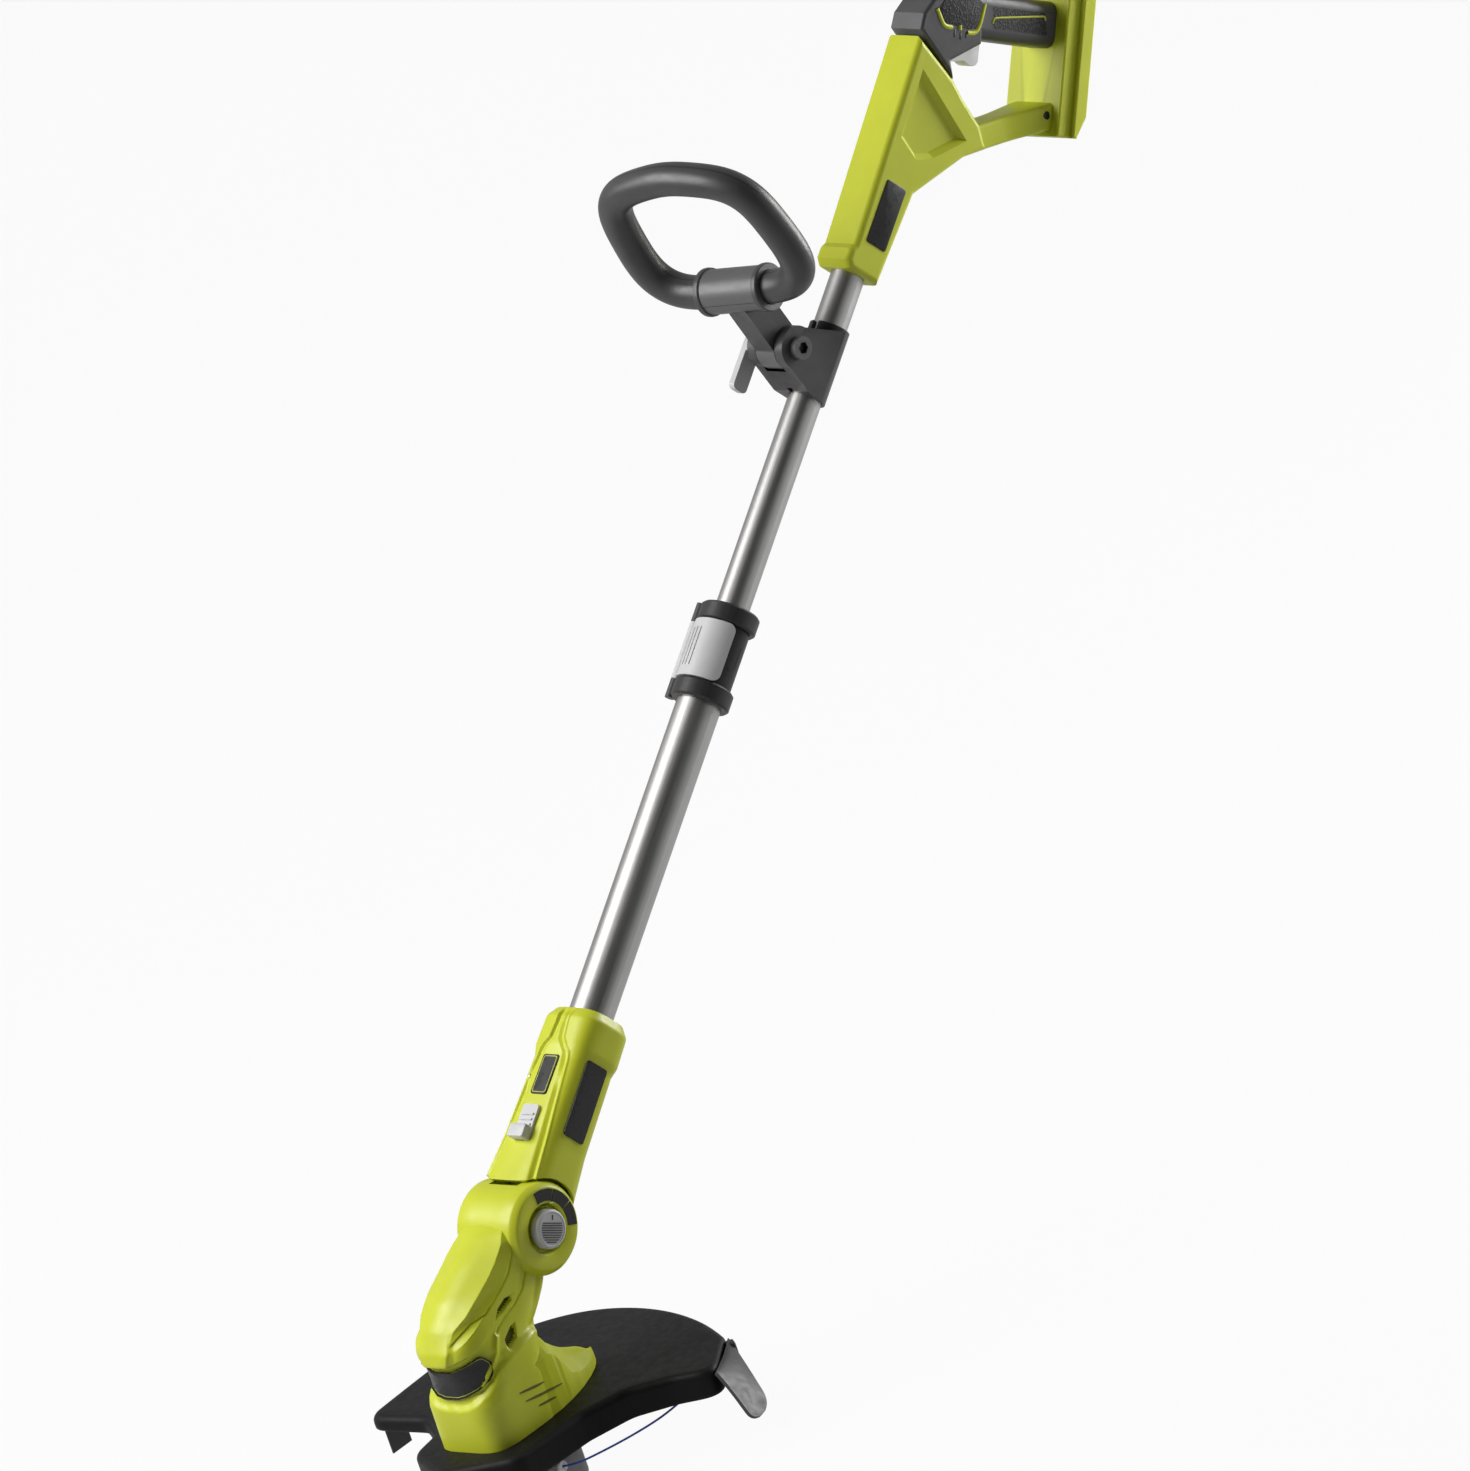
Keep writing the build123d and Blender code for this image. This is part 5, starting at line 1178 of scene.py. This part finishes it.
class TRIMMER_OT_pivot(bpy.types.Operator):
    """Builds the ridged pivot button and the blank scale beside it."""

    bl_idname = "trimmer.pivot"
    bl_label = "Pivot button"

    def execute(self, context):
        button = moved(lathe(BUTTON_PROFILE, 96), ASIDE)
        ridges = []
        for index in range(9):
            offset = -9.4 + index * 1.72
            half = math.sqrt(11.0**2 - offset**2) - 0.8
            ridges.append(self.on_face(slab(box(-half, -0.42, half, 0.42, 0.4, 3), 35.6, 36.5, 0.25), offset))
        mark = self.on_face(slab(box(-0.6, 6.6, 0.6, 10.4, 0.5, 3), 35.6, 36.2, 0.1), 0.0)
        add_piece("pivot_knob", button, "pivot_button", "grey_plastic", "button", ["pivot_button"], PIVOT)
        add_piece("pivot_ridges", joined(*ridges), "pivot_button", "grey_plastic", "yoke", place=PIVOT)
        add_piece("pivot_mark", mark, "pivot_button", "dark_plastic", "plate", place=PIVOT)
        high = 31.0 + settings()[1].plate_proud / MM
        cell = [(20.2, 30.6), (20.2, high), (29.0, high), (29.0, 30.6)]
        cells = [moved(lathe(cell, 24, start + 90.0, end - start), ASIDE) for start, end in SCALE_CELLS]
        add_piece("pivot_scale", joined(*cells), "head", "dark_plastic", "plate", place=PIVOT)
        return {"FINISHED"}

    def on_face(self, part, offset):
        """Lays a flat part on the button's face, its upright along the leaning shaft."""
        across, rise = Vector((0.882, -0.471)), Vector((0.471, 0.882))
        rows = [(across[i], rise[i], 0, rise[i] * offset) for i in range(2)]
        return moved(part, Matrix(((0, 0, 1, 0), *rows, (0, 0, 0, 1))))


CAP_PAD = [
    (-51.5, 19.5), (-46.5, 10.6), (-42.0, 9.0), (-21.0, 6.6), (-14.6, 7.8), (-11.2, 12.0), (-8.6, 26.0),
    (-12.0, 29.8), (-46.0, 27.5),
]
# Lower left corner and top of each slot below the cap
GRIP_SLOTS = ((-35.1, -0.4, 5.0), (-29.1, -1.7, 4.0), (-23.5, -0.2, 4.6))
# Routes of the accent beads, how thick they are and how far out they lie
GRIP_BEADS = (
    ([(-53.8, 18.6), (-49.8, 12.6), (-46.0, 7.4), (-42.0, 6.2), (-37.3, 6.4)], 1.0, 15.7),
    ([(-21.6, 3.8), (-15.5, 3.9), (-11.6, 6.4), (-9.0, 13.0), (-6.6, 26.0)], 1.0, 15.7),
    ([(-29.3, 5.2), (-29.4, 7.0), (-29.6, 8.8)], 1.0, 15.7),
    ([(2.6, 12.8), (3.4, 16.8), (8.0, 17.4), (51.0, 22.2), (54.6, 22.6), (55.2, 19.4)], 0.4, 16.35),
)
TRIGGER_SIDE = [
    (-30.5, -18.6), (-26.0, -17.8), (-21.9, -17.2), (-17.0, -16.2), (-13.4, -16.0), (-10.5, -16.8), (-8.1, -18.2),
    (-5.5, -18.9), (-3.0, -19.0), (0.2, -18.0), (2.0, -15.0), (2.0, 8.0), (-16.0, 8.0), (-30.5, 0.0),
]


class TRIMMER_OT_rear_handle(bpy.types.Operator):
    """Builds the trigger and lays the plates, pads, dark bars of painted groove shade, beads, a dark patch of painted
    hole shade and the strut flare on the rear handle.
    """

    bl_idname = "trimmer.rear_handle"
    bl_label = "Rear handle trims"

    def execute(self, context):
        sizes = settings()[1]
        bars = [rounded([(x, y), (x + 1.5, y), (x + 1.3, top), (x - 0.2, top)], 0.6, 3) for x, y, top in GRIP_SLOTS]
        plate = slab(box(-10.2, 24.0, 10.4, 73.0, 2.2), 16.6, 17.5 + sizes.plate_proud / MM, 0.35)
        pad = slab(rounded(CAP_PAD, 2.0), 15.6, 16.9, 0.4)
        # Dark bars laid where the grooves below the cap are: painted shade of the grooves.
        slot_shades = joined(*[slab(bar, 15.9, 16.65, 0.1) for bar in bars])
        # A dark patch over the strut's hole: painted shade of the hole.
        hole = slab(box(110.2, 175.8, 116.0, 181.6, 2.9), 18.4, 19.95, 0.1)
        for where, side, turn in (("left", 1.0, Matrix()), ("right", -1.0, MIRROR)):
            for name, part, slot, look, place in (
                ("handle_%s_plate", plate, "dark_plastic", "plate", HANDLE),
                ("cap_pad_%s", pad, "grip_rubber", "grip_rubber", GRIP),
                ("grip_slots_%s", slot_shades, "dark_plastic", "plate", GRIP),
                ("strut_hole_%s", hole, "dark_plastic", "plate", HANDLE),
            ):
                add_piece(name % where, moved(part, UPRIGHT), "handle", slot, look, place=place @ turn)
            for index, (line, thick, out) in enumerate(GRIP_BEADS):
                name = "grip_bead_%s_%d" % (where, index)
                route = [GRIP @ Vector((side * out, g, n)) * MM for g, n in line]
                strand(name, route, sizes.bead_radius * thick, "handle", "lime_plastic")
        self.strut()
        lever = moved(slab(rounded(TRIGGER_SIDE, 2.2), -6.0, 6.0, 1.3), UPRIGHT)
        add_piece("trigger_lever", lever, "trigger", "pale_plastic", "trigger", ["trigger"], GRIP)
        return {"FINISHED"}

    def strut(self):
        """Widens the lower strut where it meets the dock."""
        along, rise = 0.79, 0.612
        rows = []
        for reach in np.linspace(128.0, 206.0, 40):
            half = 13.15 + 7.0 * smooth(160.0, 206.0, reach)
            x, y = box(-half, 60.4, half, 79.6, 3.6, 5).T
            rows.append(np.column_stack([x, along * reach - rise * y, rise * reach + along * y]))
        count, last = len(rows[0]), len(rows) - 1
        faces = grid_faces(len(rows), count)
        faces += [tuple(range(count))[::-1], tuple(range(last * count, (last + 1) * count))]
        add_piece("strut_flare", (np.vstack(rows), faces), "handle", "lime_plastic", place=HANDLE)


class TRIMMER_OT_front_handle(bpy.types.Operator):
    """Builds the loop grip and the ring collars at both ends of its cradle."""

    bl_idname = "trimmer.front_handle"
    bl_label = "Front handle trims"

    def execute(self, context):
        rings, count, radius = 300, 56, 12.5
        route = even_loop(rounded([(-74, 0), (74, 0), (65, -99), (0, -111.5), (-65, -99)], 34.0, 24), rings)
        for _ in range(150):
            route = route * 0.5 + (np.roll(route, 1, axis=0) + np.roll(route, -1, axis=0)) * 0.25
        turns = np.linspace(0.0, 2.0 * math.pi, count, endpoint=False)
        side, rise = radius * np.cos(turns), radius * np.sin(turns)
        rows = [np.column_stack([spot[0] + way[1] * side, spot[1] - way[0] * side, rise])
                for spot, way in zip(route, headings(route))]
        rows.append(rows[0])
        part = np.vstack(rows), grid_faces(len(rows), count)
        halves = ["loop_half_upper", "loop_half_lower"]
        add_piece("loop_grip", part, "front_handle", "dark_plastic", "loop", halves, LOOP)
        profile = [(13.0, -2.6), (16.9, -2.6), (17.7, -1.8), (17.9, 0.0), (17.7, 1.8), (16.9, 2.6), (13.0, 2.6)]
        for spot, where in ((27.0, "left"), (-27.0, "right")):
            place = LOOP @ Matrix.Translation((spot, 0.0, 0.0)) @ ASIDE
            ring = lathe(profile, 96)
            add_piece("cradle_collar_" + where, ring, "front_handle", "dark_plastic", "yoke", place=place)
        return {"FINISHED"}


class TRIMMER_OT_clamp(bpy.types.Operator):
    """Adds the raised ribs on the clamp's lever and a dark strip of painted shade for the slit in its sleeve."""

    bl_idname = "trimmer.clamp"
    bl_label = "Clamp details"

    def execute(self, context):
        rib = moved(slab(box(-1.1, 431.0, 1.1, 461.0, 1.0, 4), 21.2, 22.9, 0.5), UPRIGHT)
        for index, turn in enumerate((-112.0, -102.0, -92.0)):
            place = SHAFT @ Matrix.Rotation(math.radians(turn), 4, "Z")
            add_piece("lever_rib_%d" % index, rib, "clamp_lever", "pale_plastic", place=place)
        # Dark strips laid on the sleeve where its slit is: painted shade of the slit.
        strips = []
        for top, segments, start, sweep in ((456.0, 6, 14.5, 3.2), (438.5, 16, -6.5, 21.0)):
            section = [(18.0, 437.4), (18.65, 437.4), (18.65, top), (18.0, top)]
            strips.append(lathe(section, segments, start, sweep))
        add_piece("sleeve_slit", joined(*strips), "lower_shaft", "dark_plastic", "plate", place=SHAFT)
        return {"FINISHED"}


class TRIMMER_PT_panel(bpy.types.Panel):
    """Lists the trimmer's colours, sizes and making steps."""

    bl_idname = "TRIMMER_PT_panel"
    bl_label = "String Trimmer"
    bl_space_type = "VIEW_3D"
    bl_region_type = "UI"
    bl_category = "Trimmer"

    def draw(self, context):
        for group in settings():
            box = self.layout.box()
            for key in group.__annotations__:
                box.prop(group, key)
        for step in STEPS:
            self.layout.operator(step.bl_idname)


STEPS = (
    TRIMMER_OT_stage,
    TRIMMER_OT_cutting_line,
    TRIMMER_OT_finishes,
    TRIMMER_OT_head,
    TRIMMER_OT_neck,
    TRIMMER_OT_guard,
    TRIMMER_OT_pivot,
    TRIMMER_OT_rear_handle,
    TRIMMER_OT_front_handle,
    TRIMMER_OT_clamp,
)
CLASSES = (TrimmerColours, TrimmerSizes, TrimmerStudio) + STEPS + (TRIMMER_PT_panel,)


def register():
    """Registers the classes and the scene's settings."""
    for each in CLASSES:
        bpy.utils.register_class(each)
    bpy.types.Scene.trimmer_colours = PointerProperty(type=TrimmerColours)
    bpy.types.Scene.trimmer_sizes = PointerProperty(type=TrimmerSizes)
    bpy.types.Scene.trimmer_studio = PointerProperty(type=TrimmerStudio)


def unregister():
    """Removes the scene's settings and the classes."""
    del bpy.types.Scene.trimmer_studio
    del bpy.types.Scene.trimmer_sizes
    del bpy.types.Scene.trimmer_colours
    for each in reversed(CLASSES):
        bpy.utils.unregister_class(each)


def main():
    """Makes the trimmer step by step."""
    register()
    bpy.ops.trimmer.stage()
    bpy.ops.trimmer.cutting_line()
    bpy.ops.trimmer.finishes()
    bpy.ops.trimmer.head()
    bpy.ops.trimmer.neck()
    bpy.ops.trimmer.guard()
    bpy.ops.trimmer.pivot()
    bpy.ops.trimmer.rear_handle()
    bpy.ops.trimmer.front_handle()
    bpy.ops.trimmer.clamp()


if __name__ == "__main__":
    main()
